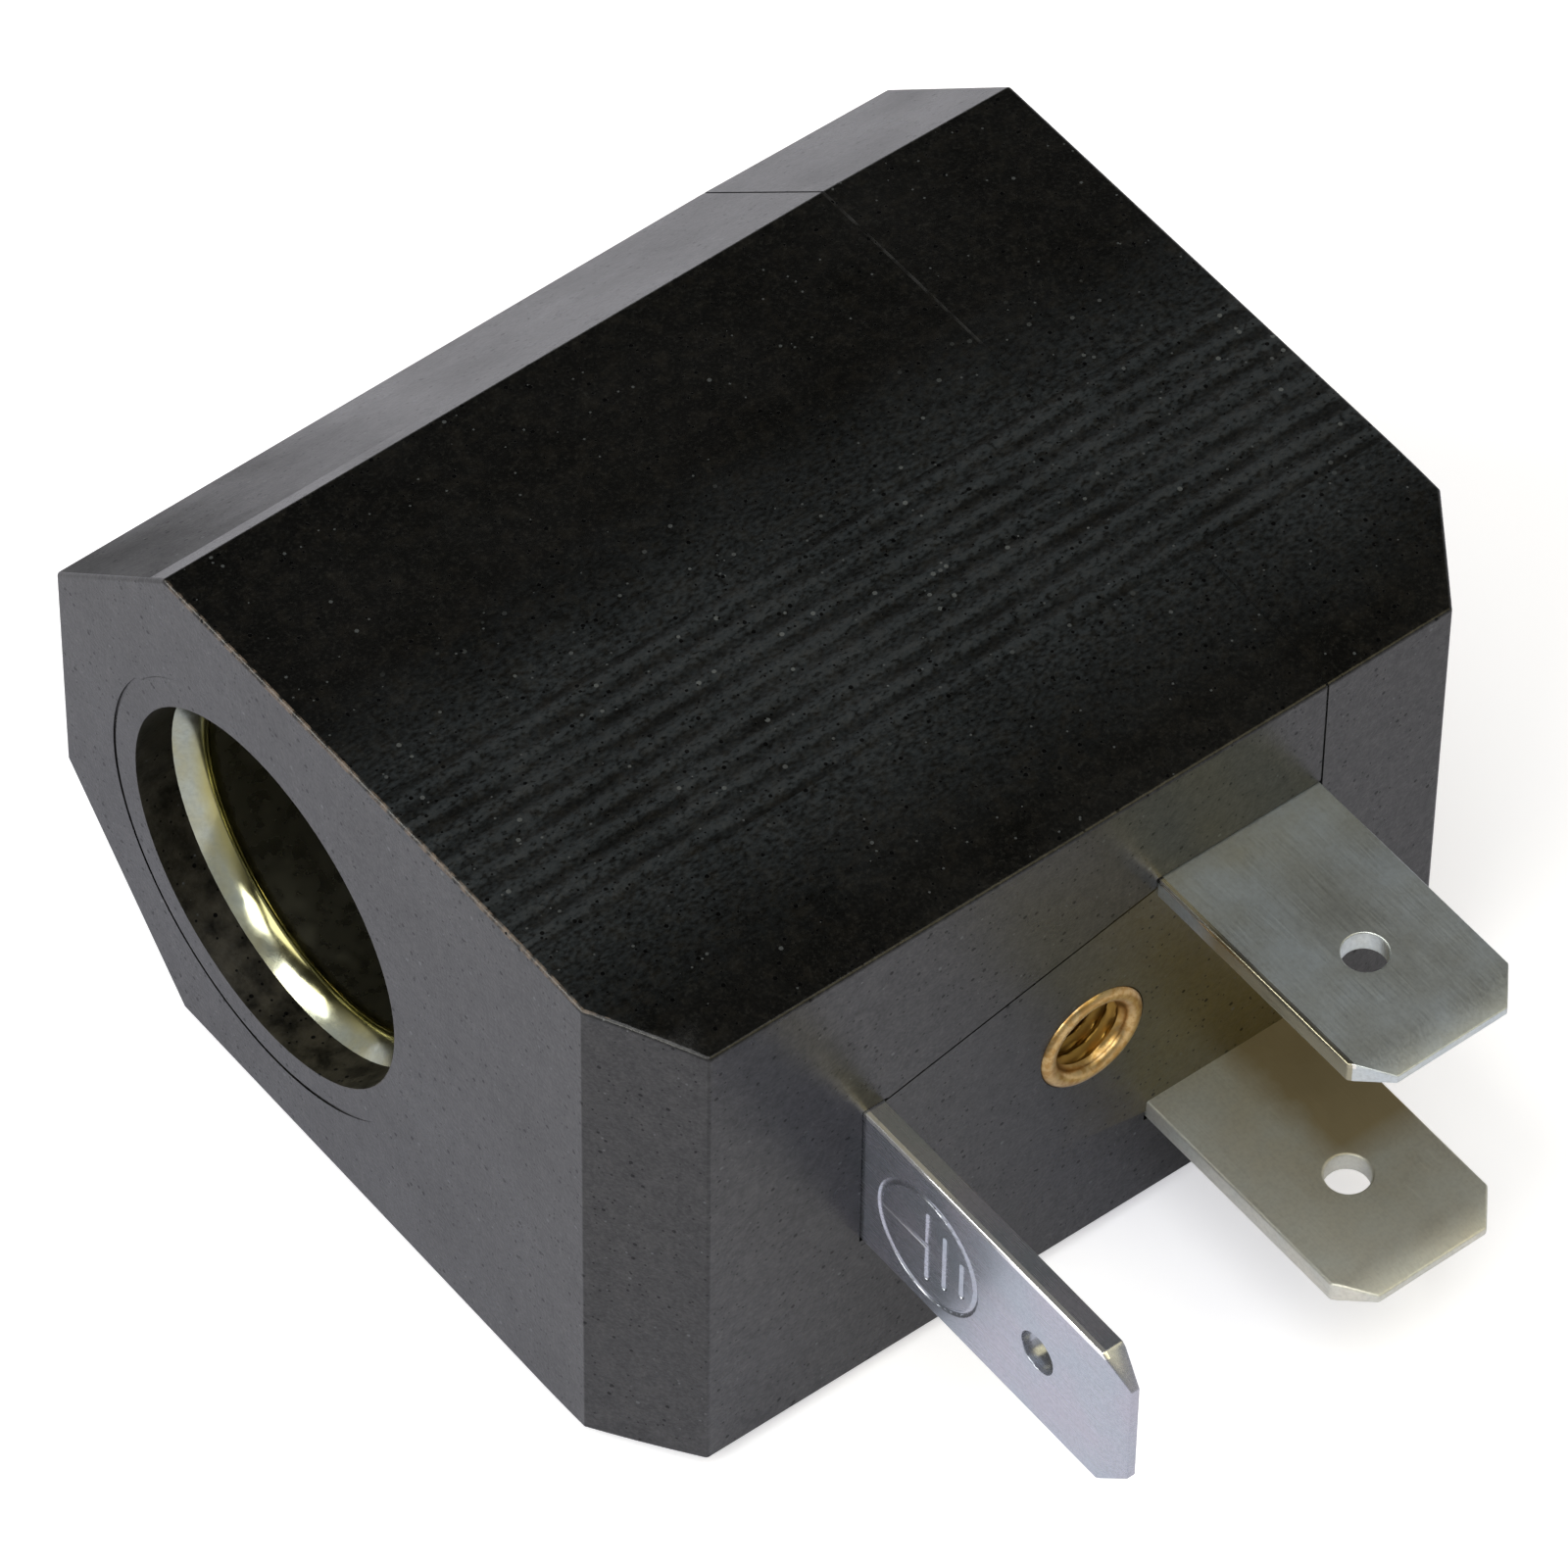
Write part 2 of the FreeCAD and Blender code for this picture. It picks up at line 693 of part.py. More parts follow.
def rounded_path(corners, radius):
    """Wire of straight runs joined by tangent arcs."""
    edges = []
    start = corners[0]
    for before, corner, after in zip(corners, corners[1:], corners[2:]):
        back = (before - corner).normalize()
        ahead = (after - corner).normalize()
        half_turn = back.getAngle(ahead) / 2
        setback = radius / math.tan(half_turn)
        arc_start = corner + back * setback
        arc_end = corner + ahead * setback
        inward = (back + ahead).normalize()
        arc_middle = corner + inward * (radius / math.sin(half_turn) - radius)
        edges.append(Part.makeLine(start, arc_start))
        edges.append(Part.Arc(arc_start, arc_middle, arc_end).toShape())
        start = arc_end
    edges.append(Part.makeLine(start, corners[-1]))
    return Part.Wire(edges)


def pipe(path, radius):
    """Round rod along a path."""
    start = path.Edges[0].valueAt(path.Edges[0].FirstParameter)
    heading = path.Edges[0].tangentAt(path.Edges[0].FirstParameter)
    ring = Part.Wire(Part.makeCircle(radius, start, heading))
    return path.makePipeShell([ring], True, True)


def make_lead(side, winding):
    """Bare end of the winding wire, from the winding's outer layer to the solder tag."""
    return pipe(rounded_path(lead_route(side), lead_bend_radius), lead_radius).cut(winding)


def make_sleeve(side):
    """Insulating sleeve on the straight run of a winding end, past the yoke's web."""
    _, first, last, _, _ = lead_route(side)
    start_y = first.y - sleeve_end_margin
    end_y = last.y + sleeve_end_margin
    outer = outward_cylinder(sleeve_outer_diameter / 2, solder_tag_x, first.z, (end_y, start_y))
    return outer.cut(outward_cylinder(sleeve_inner_diameter / 2, solder_tag_x, first.z, (end_y, start_y)))


def make_solder(side, lead):
    """Dome of solder that holds a winding end on its tag."""
    tag_top = power_blade_z + blade_thickness / 2
    radius = (solder_radius ** 2 + solder_height ** 2) / (2 * solder_height)
    tag_end_y = terminal_face_y + power_blade_seat + solder_tag_length
    centre = FreeCAD.Vector(solder_tag_x, tag_end_y - lead_on_tag, side * (tag_top + solder_height - radius))
    ball = Part.makeSphere(radius, centre)
    above = sorted((side * tag_top, side * (tag_top + 2 * solder_height)))
    reach = 2 * solder_radius
    slab = box((centre.x - reach, centre.x + reach), (centre.y - reach, centre.y + reach), above)
    return ball.common(slab).cut(lead)


def make_terminal_block(held):
    """Moulded carrier of the three blades and the insert, flush with the body's terminal face."""
    outside_y = terminal_face_y - overshoot
    block = moulded_form(0).common(block_prism(0, (outside_y, web_outer_y)))
    return block.cut([earth_heel_space(), insert_bore_cutter(), *held])


def make_overmould(core, held):
    """Moulded body: the drafted form with rounded edges, less everything that it encloses."""
    skin = rounded_form().cut(parting_mark())
    skin = skin.fuse(top_ribs())
    skin = skin.cut([collar_mark(0, 1), collar_mark(body_length, -1)])
    body = skin.cut(face_seam()).cut(core)
    for piece in held:
        body = body.cut(piece)
    return body


def main():
    os.makedirs("parts", exist_ok=True)
    winding = wound_ring(bobbin_outer_radius, winding_outer_radius)
    nodes = {
        "bobbin": make_bobbin(),
        "winding": winding,
        "yoke_frame": make_yoke_frame(),
        "front_flux_bush": make_flux_bush(end_wall, 1),
        "rear_flux_bush": make_flux_bush(body_length - end_wall, -1),
        "power_terminal_upper": make_power_terminal(1),
        "power_terminal_lower": make_power_terminal(-1),
        "earth_terminal": make_earth_terminal(),
        "earth_rivet": make_earth_rivet(),
        "threaded_insert": make_threaded_insert(),
    }
    tape = wound_ring(winding_outer_radius, tape_outer_radius)
    for name, side in (("start", 1), ("end", -1)):
        lead = make_lead(side, winding)
        nodes["lead_wire_" + name] = lead
        nodes["lead_sleeve_" + name] = make_sleeve(side)
        nodes["solder_joint_" + name] = make_solder(side, lead)
        tape = tape.cut(lead)
    nodes["winding_tape"] = tape
    blades = [nodes[name] for name in ("power_terminal_upper", "power_terminal_lower", "earth_terminal")]
    joints = [nodes["solder_joint_start"], nodes["solder_joint_end"]]
    block = make_terminal_block([*blades, nodes["earth_rivet"], *joints])
    nodes["terminal_block"] = block
    held = [nodes["yoke_frame"], nodes["earth_rivet"], block, insert_bore_cutter(), *blades, *joints]
    for name in ("start", "end"):
        held.append(nodes["lead_wire_" + name])
        held.append(nodes["lead_sleeve_" + name])
    nodes["overmould_body"] = make_overmould(core_envelope(), held)
    for name, shape in nodes.items():
        solid_count = len(shape.Solids)
        print(f"{name}: {solid_count} solid, {shape.Volume:.1f} mm3, valid {shape.isValid()}")
        shape.exportStep(f"parts/{name}.step")


main()
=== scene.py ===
# %% [markdown]
# # A solenoid valve coil
# The part is an electric coil cast into a black plastic block. A bore with plated steel bushes runs through
# it, and three flat blades and a brass thread insert take the plug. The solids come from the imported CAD
# model. This lesson dresses them: softer edges, moulded ribs, a real thread, and a finish for every piece.

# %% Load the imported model
import math

import bmesh
import bpy
from mathutils import Matrix, Vector


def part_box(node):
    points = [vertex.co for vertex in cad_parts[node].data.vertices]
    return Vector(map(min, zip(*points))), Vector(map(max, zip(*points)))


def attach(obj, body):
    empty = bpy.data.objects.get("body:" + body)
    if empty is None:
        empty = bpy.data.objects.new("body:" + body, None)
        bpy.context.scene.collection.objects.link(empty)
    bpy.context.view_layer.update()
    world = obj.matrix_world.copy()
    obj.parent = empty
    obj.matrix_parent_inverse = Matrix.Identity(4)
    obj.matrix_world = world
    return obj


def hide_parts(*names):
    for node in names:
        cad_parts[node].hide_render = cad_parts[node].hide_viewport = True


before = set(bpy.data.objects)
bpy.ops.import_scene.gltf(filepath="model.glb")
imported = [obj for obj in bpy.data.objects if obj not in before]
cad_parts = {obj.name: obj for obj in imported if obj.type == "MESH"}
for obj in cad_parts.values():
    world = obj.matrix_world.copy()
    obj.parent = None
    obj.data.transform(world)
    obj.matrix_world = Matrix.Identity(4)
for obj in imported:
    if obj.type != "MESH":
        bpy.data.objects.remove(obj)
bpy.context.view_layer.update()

# %% [markdown]
# Blender works in metres and this part is measured in millimetres, so every size is written in millimetres
# and multiplied once. The sizes below are the ones that several pieces share, read off the imported model
# where it has them.

# %% Sizes that pieces share
mm = 0.001
bush_low, bush_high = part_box("front_flux_bush")
insert_low, insert_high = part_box("threaded_insert")
body_low, body_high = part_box("overmould_body")
body_length = body_high.x
upper_blade_low, upper_blade_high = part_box("power_terminal_upper")
lower_blade_low, lower_blade_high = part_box("power_terminal_lower")
parting_x = 25.5 * mm
print("body length in mm:", round(body_length / mm, 3))

# %% [markdown]
# ## Node trees in few words
# Every finish here is a node material. One small function makes a node, sets its options and fills its
# inputs. An input may be a plain value or the output of another node, in which case the function draws the
# link. The short helpers after it put sums and comparisons into words.

# %% Helpers that make nodes
def add_node(tree, kind, inputs=None, **options):
    """Makes a node. Inputs are keyed by socket name or number, and hold plain values or sockets."""
    made = tree.nodes.new(kind)
    for option, value in options.items():
        setattr(made, option, value)
    for key, value in (inputs or {}).items():
        socket = made.inputs[key]
        if isinstance(value, bpy.types.NodeSocket):
            tree.links.new(value, socket)
        else:
            socket.default_value = value
    return made


def math_node(tree, operation, *values):
    """The result socket of one sum, product or other operation."""
    made = add_node(tree, "ShaderNodeMath", dict(enumerate(values)), operation=operation)
    return made.outputs[0]


def product(tree, *factors):
    """All factors multiplied with each other."""
    result = factors[0]
    for factor in factors[1:]:
        result = math_node(tree, "MULTIPLY", result, factor)
    return result


def over(tree, value, limit):
    """1 where the value is over the limit."""
    return math_node(tree, "GREATER_THAN", value, limit)


def under(tree, value, limit):
    """1 where the value is under the limit."""
    return math_node(tree, "LESS_THAN", value, limit)


def distance_from(tree, value, middle):
    """How far the value lies from the middle, on either side."""
    return math_node(tree, "ABSOLUTE", math_node(tree, "SUBTRACT", value, middle))


# %% [markdown]
# Most finishes vary slowly over a piece and finely within a tenth of a millimetre. Both come from noise on
# Object coordinates, which are the real places in metres, so the grain keeps its true size on every piece.
# The scale is given as the size of one blotch, because that is easier to judge than a frequency, and it can
# be stretched along one axis for rolled or rubbed metal.

# %% Patterns of a real size
def place_node(tree):
    """Object coordinates, the same on every piece because all objects sit at the origin."""
    return add_node(tree, "ShaderNodeTexCoord").outputs["Object"]


def place_axes(tree):
    """The three object coordinates, each as a socket of its own."""
    return add_node(tree, "ShaderNodeSeparateXYZ", {0: place_node(tree)}).outputs


def noise_field(tree, blotch, stretch=(1, 1, 1), detail=3.0, roughness=0.55):
    """Noise from 0 to 1. One blotch is about this many millimetres wide."""
    scale = tuple(1 / (blotch * mm * along) for along in stretch)
    mapped = add_node(tree, "ShaderNodeMapping", {"Vector": place_node(tree), "Scale": scale})
    inputs = {"Vector": mapped.outputs[0], "Scale": 1.0, "Detail": detail, "Roughness": roughness}
    return add_node(tree, "ShaderNodeTexNoise", inputs).outputs["Fac"]


def dots(tree, spacing, size, empty):
    """1 inside small round dots and 0 between them. Empty is the share of cells without a dot."""
    inputs = {"Vector": place_node(tree), "Scale": 1 / (spacing * mm)}
    cells = add_node(tree, "ShaderNodeTexVoronoi", inputs)
    inside = under(tree, cells.outputs["Distance"], size / spacing)
    chosen = add_node(tree, "ShaderNodeSeparateColor", {0: cells.outputs["Color"]}).outputs[0]
    return product(tree, inside, over(tree, chosen, empty))


def spread(tree, field, low, high, start=0.3, end=0.7):
    """Maps a field to values between low and high."""
    inputs = {"Value": field, "From Min": start, "From Max": end, "To Min": low, "To Max": high}
    return add_node(tree, "ShaderNodeMapRange", inputs).outputs[0]


def blend_colour(tree, factor, first, second):
    """Mixes two colours, each plain or a socket."""
    made = add_node(tree, "ShaderNodeMix", {0: factor}, data_type="RGBA")
    for socket, value in ((made.inputs[6], first), (made.inputs[7], second)):
        if isinstance(value, bpy.types.NodeSocket):
            tree.links.new(value, socket)
        else:
            socket.default_value = (*value, 1)
    return made.outputs[2]


def bump(tree, height, depth, strength=1.0, below=None):
    """Normal socket for relief of the given depth in millimetres."""
    inputs = {"Height": height, "Distance": depth * mm, "Strength": strength}
    if below:
        inputs["Normal"] = below
    return add_node(tree, "ShaderNodeBump", inputs).outputs[0]


# %% [markdown]
# Each finish starts the same way: a new material whose Principled shader gets a colour, a roughness and a
# normal. Numbers that don't vary over the surface, such as how metallic it is, go straight on the shader's
# own sockets.

# %% Helpers that start a finish
def start_finish(name, metallic=0.0):
    """A new node material, its tree and its Principled shader."""
    finish = bpy.data.materials.new(name)
    finish.use_nodes = True
    tree = finish.node_tree
    shader = next(item for item in tree.nodes if item.type == "BSDF_PRINCIPLED")
    shader.inputs["Metallic"].default_value = metallic
    shader.inputs["IOR"].default_value = 1.5
    return finish, tree, shader


def connect(tree, shader, **sockets):
    """Links sockets to the shader's inputs, with spaces for the underscores in their names."""
    for name, socket in sockets.items():
        tree.links.new(socket, shader.inputs[name.replace("_", " ")])


# %% [markdown]
# ## The black moulding
# The body is glass-filled plastic, almost black, with a satin skin. What makes it look grey from the side
# is the room's reflection, so the colour stays dark and the roughness does the work. Slow blotches change
# both a little, dust settles in patches, and fine grain with pits gives the skin its bite. A few pale
# specks are glass fibre.

# %% Finish of the moulding
dust_brown = (0.024, 0.02, 0.013)
grain_grey = (0.02, 0.0195, 0.016)
pit_black = (0.0005, 0.0005, 0.0005)
fibre_grey = (0.05, 0.054, 0.055)


def moulding_finish(name, dark, light, rough_low, rough_high, grain_depth, wear_and_light=()):
    """Satin black plastic with blotches, grain and pits. The wear list holds (colour, added roughness, place)
    for wear and for painted sheen, highlights and reflections.
    """
    finish, tree, shader = start_finish(name)
    blotches = noise_field(tree, 4.0, detail=5.0)
    mottle = noise_field(tree, 0.55, detail=4.0, roughness=0.65)
    fine = noise_field(tree, 0.14, detail=3.0, roughness=0.7)
    pits = math_node(tree, "MAXIMUM", dots(tree, 0.5, 0.075, 0.6), dots(tree, 0.27, 0.045, 0.55))
    specks = math_node(tree, "MAXIMUM", dots(tree, 0.9, 0.07, 0.7), dots(tree, 0.41, 0.04, 0.75))
    colour = blend_colour(tree, blotches, dark, light)
    rough = spread(tree, blotches, rough_low, rough_high)
    for mark_tint, more_rough, mark_spot in wear_and_light:
        mark_share = product(tree, mark_spot(tree), spread(tree, blotches, 0.75, 1.05))
        colour = blend_colour(tree, mark_share, colour, mark_tint)
        rough = math_node(tree, "MULTIPLY_ADD", mark_share, more_rough, rough)
    dusty = spread(tree, mottle, 0.0, 0.22, 0.48, 0.75)
    grainy = spread(tree, fine, 0.0, 0.45, 0.53, 0.75)
    for amount, tone in ((dusty, dust_brown), (grainy, grain_grey), (pits, pit_black), (specks, fibre_grey)):
        colour = blend_colour(tree, amount, colour, tone)
    gloss = math_node(tree, "ADD", spread(tree, mottle, 0.41, 0.56), spread(tree, fine, -0.12, 0.12))
    gloss = product(tree, gloss, math_node(tree, "MULTIPLY_ADD", pits, -0.65, 1.0))
    relief = bump(tree, math_node(tree, "SUBTRACT", 1.0, pits), 0.015, 0.5, bump(tree, fine, grain_depth))
    connect(tree, shader, Base_Color=colour, Roughness=rough, Specular_IOR_Level=gloss, Normal=relief)
    return finish


# %% [markdown]
# Hands and tools rub the ribs, so the band round them has gone from black to a dull blue-grey, most of all on
# the crests, and some pale glass fibres lie bare. The lighter band and its crest lines are also painted
# sheen, standing in for the light the ribs catch. The place of the band comes from the ribs' own sizes, which
# the shape uses too.

# %% Worn band with painted sheen round the ribs
rib_first_y = -6.6 * mm
rib_pitch = 0.94 * mm
rib_count = 8
rib_height = 0.05 * mm
rib_middle_y = rib_first_y - rib_pitch * (rib_count - 1) / 2
worn_sheen_middle_y = rib_middle_y + 1.5 * mm
top_height = 11.0 * mm


def rib_wave(tree, y, first, pitch):
    """1 on the crest of each rib and 0 halfway between two."""
    turns = math_node(tree, "DIVIDE", math_node(tree, "SUBTRACT", first, y), pitch)
    wave = math_node(tree, "COSINE", math_node(tree, "MULTIPLY", turns, math.tau))
    return turns, math_node(tree, "MULTIPLY_ADD", wave, 0.5, 0.5)


def on_top_face(tree, z):
    """1 on the top face, its ribs and its rounded edges."""
    return over(tree, z, top_height - 0.7 * mm)


def worn_band_and_sheen(tree):
    """Wear with a painted sheen, strongest on the crests in the middle of the ribs, fading out on both sides.
    """
    _, y, z = place_axes(tree)
    ragged = math_node(tree, "MULTIPLY_ADD", noise_field(tree, 3.0, (3, 1, 1)), 3 * mm, y)
    band = spread(tree, distance_from(tree, ragged, worn_sheen_middle_y), 1.0, 0.0, 2.6 * mm, 8.2 * mm)
    thin_crest = math_node(tree, "POWER", rib_wave(tree, y, rib_first_y, rib_pitch)[1], 2.5)
    on_ribs = under(tree, distance_from(tree, y, rib_middle_y), rib_pitch * rib_count / 2)
    broken = spread(tree, noise_field(tree, 0.6, (4, 1, 1)), 0.4, 1.7, 0.35, 0.65)
    lines = product(tree, on_ribs, math_node(tree, "SUBTRACT", thin_crest, 0.4), broken)
    gritty = spread(tree, noise_field(tree, 0.14, (1.6, 1, 1), detail=2.0), 0.1, 1.75, 0.33, 0.67)
    return product(tree, band, math_node(tree, "MULTIPLY_ADD", lines, 1.15, 0.88), gritty,
                   on_top_face(tree, z))


def rib_specks(tree):
    """Pale glass fibres that the rubbing has laid bare on the ribs."""
    _, y, z = place_axes(tree)
    near = spread(tree, distance_from(tree, y, worn_sheen_middle_y), 1.0, 0.0, 3.5 * mm, 6.5 * mm)
    return product(tree, near, dots(tree, 0.62, 0.08, 0.6), on_top_face(tree, z))


# %% [markdown]
# Smaller marks follow: the rubbed front edge of the top, painted lighter as a highlight, dust in the recess
# of the bore, the scuffed end of the far chamfer, the pale end of the parting line, and a painted reflection
# of the power blades on the block beside them.

# %% Smaller marks on the moulding
corner_x = 2.2 * mm
corner_y = 3.7 * mm
corner_start_y = -16.15 * mm
recess_radius = 6.73 * mm


def rubbed_edge_painted_highlight(tree):
    """The rubbed, rounded edge between the top and the front face with its corner chamfer, in broken
    stretches, painted lighter as a highlight.
    """
    x, y, z = place_axes(tree)
    slant = math.hypot(corner_x, corner_y)
    past_start = math_node(tree, "MULTIPLY", math_node(tree, "SUBTRACT", y, corner_start_y), corner_x / slant)
    behind_chamfer = math_node(tree, "MULTIPLY_ADD", x, corner_y / slant, past_start)
    at_front = under(tree, math_node(tree, "MINIMUM", x, behind_chamfer), 0.13 * mm)
    broken = spread(tree, noise_field(tree, 0.35, detail=4.0), 0.05, 1.0, 0.42, 0.62)
    return product(tree, at_front, over(tree, z, top_height - 0.36 * mm), broken)


def recess_dust(tree):
    """Old dust and oil on the wall of the recess in front of the bush."""
    _, y, z = place_axes(tree)
    across = add_node(tree, "ShaderNodeCombineXYZ", {1: y, 2: z}).outputs[0]
    away = add_node(tree, "ShaderNodeVectorMath", {0: across}, operation="LENGTH").outputs["Value"]
    patchy = spread(tree, noise_field(tree, 0.8, detail=4.0), 0.1, 1.0, 0.35, 0.65)
    low = spread(tree, z, 1.0, 0.45, -6 * mm, 2 * mm)
    return product(tree, under(tree, away, recess_radius), patchy, low)


def scuffed_chamfer(tree):
    """The front end of the upper far chamfer, which is scuffed dull."""
    x, y, z = place_axes(tree)
    on_chamfer = product(tree, over(tree, x, 0.12 * mm), over(tree, y, 5.5 * mm), over(tree, z, 4.0 * mm))
    ragged = math_node(tree, "MULTIPLY_ADD", noise_field(tree, 2.5), 4 * mm, x)
    return product(tree, on_chamfer, spread(tree, ragged, 1.0, 0.0, 3 * mm, 13 * mm))


def pale_seam(tree):
    """The parting line on the far half of the top, where it shows pale."""
    x, y, z = place_axes(tree)
    on_line = under(tree, distance_from(tree, x, parting_x), 0.05 * mm)
    ragged = spread(tree, noise_field(tree, 0.7, detail=3.0), 0.1, 1.0, 0.4, 0.6)
    return product(tree, on_line, over(tree, y, -3.5 * mm), over(tree, z, top_height - 0.2 * mm), ragged)


def painted_blade_reflection(tree):
    """A painted olive reflection of the power blades on the terminal face beside them."""
    ragged = math_node(tree, "MULTIPLY_ADD", noise_field(tree, 1.5, detail=4.0), 3 * mm, place_axes(tree)[0])
    patchy = spread(tree, noise_field(tree, 0.3, detail=3.0), 0.6, 1.0)
    return product(tree, spread(tree, ragged, 0.0, 1.0, 17 * mm, 21.5 * mm), patchy)


# %% [markdown]
# Three mouldings come from one function. Each mark has a colour, an added roughness and a place.

# %% The three black mouldings
# The body's marks: the rib band is wear with a painted sheen, the rubbed edge is painted lighter as a
# highlight, and the rest are fibres, dust, the seam and a scuff.
body_wear_and_light = (
    ((0.0140, 0.0172, 0.0191), 0.1, worn_band_and_sheen),
    ((0.075, 0.081, 0.081), 0.0, rib_specks),
    ((0.125, 0.095, 0.072), 0.1, rubbed_edge_painted_highlight),
    ((0.034, 0.03, 0.02), 0.15, recess_dust),
    ((0.03, 0.03, 0.03), 0.1, pale_seam),
    ((0.001, 0.001, 0.001), 0.3, scuffed_chamfer),
)
# The block carries one mark, a painted reflection of the power blades.
block_painted_reflection = (((0.06, 0.047, 0.012), 0.03, painted_blade_reflection),)
moulded_black = moulding_finish("moulded_black", (0.0005, 0.0004, 0.0001), (0.002, 0.002, 0.0015),
                                0.25, 0.33, 0.009, body_wear_and_light)
block_black = moulding_finish("block_black", (0.002, 0.0022, 0.0018), (0.006, 0.0064, 0.0062),
                              0.25, 0.34, 0.007, block_painted_reflection)
bobbin_plastic = moulding_finish("bobbin_plastic", (0.006, 0.006, 0.005), (0.014, 0.014, 0.012),
                                 0.42, 0.55, 0.008)
print("moulding finishes:", moulded_black.name, block_black.name, bobbin_plastic.name)

# %% [markdown]
# ## The metals
# One function serves them all: a base colour that drifts towards a second one, fine lines along the way the
# metal was rolled or turned, dull specks, and a roughness that changes from place to place.

# %% Finish of rolled and turned metal
def metal_finish(name, colour, other_colour, rough_low, rough_high, stretch, line=0.05, line_depth=0.002,
                 blotch=2.5, metallic=1.0, marks=()):
    """Plated or plain metal with lines along one axis. Marks lists (colour, added roughness, place)."""
    finish, tree, shader = start_finish(name, metallic=metallic)
    clouds = noise_field(tree, blotch, detail=4.0)
    lines = noise_field(tree, line, stretch, detail=3.0)
    tint = blend_colour(tree, spread(tree, clouds, 0.0, 1.0, 0.35, 0.65), colour, other_colour)
    tint = blend_colour(tree, spread(tree, lines, 0.0, 0.2), tint, tuple(value * 0.6 for value in colour))
    speckle = spread(tree, noise_field(tree, 0.13, detail=2.0), 0.0, 0.24, 0.42, 0.68)
    tint = blend_colour(tree, speckle, tint, tuple(value * 0.5 for value in colour))
    rough = math_node(tree, "ADD", spread(tree, clouds, rough_low, rough_high),
                      spread(tree, lines, -0.04, 0.04))
    for mark_colour, more_rough, mark_place in marks:
        marked = mark_place(tree)
        tint = blend_colour(tree, marked, tint, mark_colour)
        rough = math_node(tree, "MULTIPLY_ADD", marked, more_rough, rough)
    connect(tree, shader, Base_Color=tint, Roughness=rough, Normal=bump(tree, lines, line_depth))
    return finish


# %% [markdown]
# The plug's sockets polish two edges of the blades, which are also painted lighter as a glint. The front side
# of the upper blade is darker and browner from 2 mm off its root, and the far half of the lower one carries a
# painted shadow of the upper blade.

# %% Marks on the blades
earth_blade_front = 7.95 * mm
earth_blade_upper = 3.15 * mm
glint_reach = 0.17 * mm


def front_upper_edge(tree, front_x, upper_z):
    """1 on the rounded edge between a blade's front side and its upper side."""
    x, _, z = place_axes(tree)
    return product(tree, under(tree, x, front_x + glint_reach), over(tree, z, upper_z - glint_reach))


def rubbed_blade_edge_painted_glint(tree):
    """The edge of the upper blade that the plug's socket polishes, painted lighter as a glint."""
    return front_upper_edge(tree, upper_blade_low.x, upper_blade_high.z)


def rubbed_earth_edge_painted_glint(tree):
    """The same on the earth blade, painted white as a wide glint."""
    return front_upper_edge(tree, earth_blade_front, earth_blade_upper)


def darker_browner_side(tree):
    """The front side of the upper blade, darker and browner from 2 mm off its root."""
    x, y, _ = place_axes(tree)
    off_root = spread(tree, y, 0.9, 0.0, -22.6 * mm, -21.8 * mm)
    return product(tree, under(tree, x, upper_blade_low.x + 0.1 * mm), off_root)


def upper_blade_painted_shadow(tree):
    """A brown painted shadow of the upper blade along the far edge of the lower blade, on top."""
    x, y, z = place_axes(tree)
    ragged = math_node(tree, "MULTIPLY_ADD", noise_field(tree, 1.2), 0.9 * mm, x)
    sideways = spread(tree, ragged, 0.0, 1.0, 22.1 * mm, 23.4 * mm)
    outwards = spread(tree, y, 0.0, 1.0, -25.9 * mm, -24.7 * mm)
    return product(tree, sideways, over(tree, z, lower_blade_high.z - 0.03 * mm), outwards)


# %% [markdown]
# The insert's thread is painted darker as the shade inside its hole, and oil has blotched its bead. Each bush
# has a rougher inner wall, and its flare is yellower where it is deep.

# %% Marks on the turned pieces
def thread_painted_shade(tree):
    """The thread of the insert behind its bead, painted darker as the shade inside the hole."""
    return spread(tree, place_axes(tree)[1], 0.0, 1.0, insert_low.y + 0.25 * mm, insert_low.y + 0.55 * mm)


def blotched_rim(tree):
    """Darker blotches on the bead of the insert."""
    return spread(tree, noise_field(tree, 0.2, detail=3.0), 0.0, 0.75, 0.44, 0.6)


def deeper_than(tree, x, nothing_at, full_at):
    """0 to 1 between two depths, both counted from the nearer end of the bore."""
    half = body_length / 2
    return spread(tree, distance_from(tree, x, half), 1.0, 0.0, half - full_at, half - nothing_at)


def inner_wall(tree):
    """The drawn wall of a bush behind its flare."""
    return deeper_than(tree, place_axes(tree)[0], 2.5 * mm, 2.7 * mm)


def yellow_lip(tree):
    """The deep part of a bush's flare, most of all on its lower half."""
    x, _, z = place_axes(tree)
    lower_half = spread(tree, z, 0.8, 0.05, -0.5 * mm, 3 * mm)
    return product(tree, deeper_than(tree, x, 1.75 * mm, 2.1 * mm), lower_half)


# %% [markdown]
# Now each metal is one call. Rolled pieces get lines along one axis, and turned or cast ones get even
# grain.

# %% The metals of this coil
along_x = (40, 1, 1)
along_y = (1, 40, 1)
even = (1, 1, 1)
# The upper blade's polished edge is painted lighter as a glint, and its front side is darker and browner.
tin_plate = metal_finish("tin_plate", (0.65, 0.68, 0.65), (0.57, 0.63, 0.67), 0.42, 0.52, along_y,
                         marks=[((0.85, 0.83, 0.74), -0.2, rubbed_blade_edge_painted_glint),
                                ((0.36, 0.33, 0.22), 0.06, darker_browner_side)])
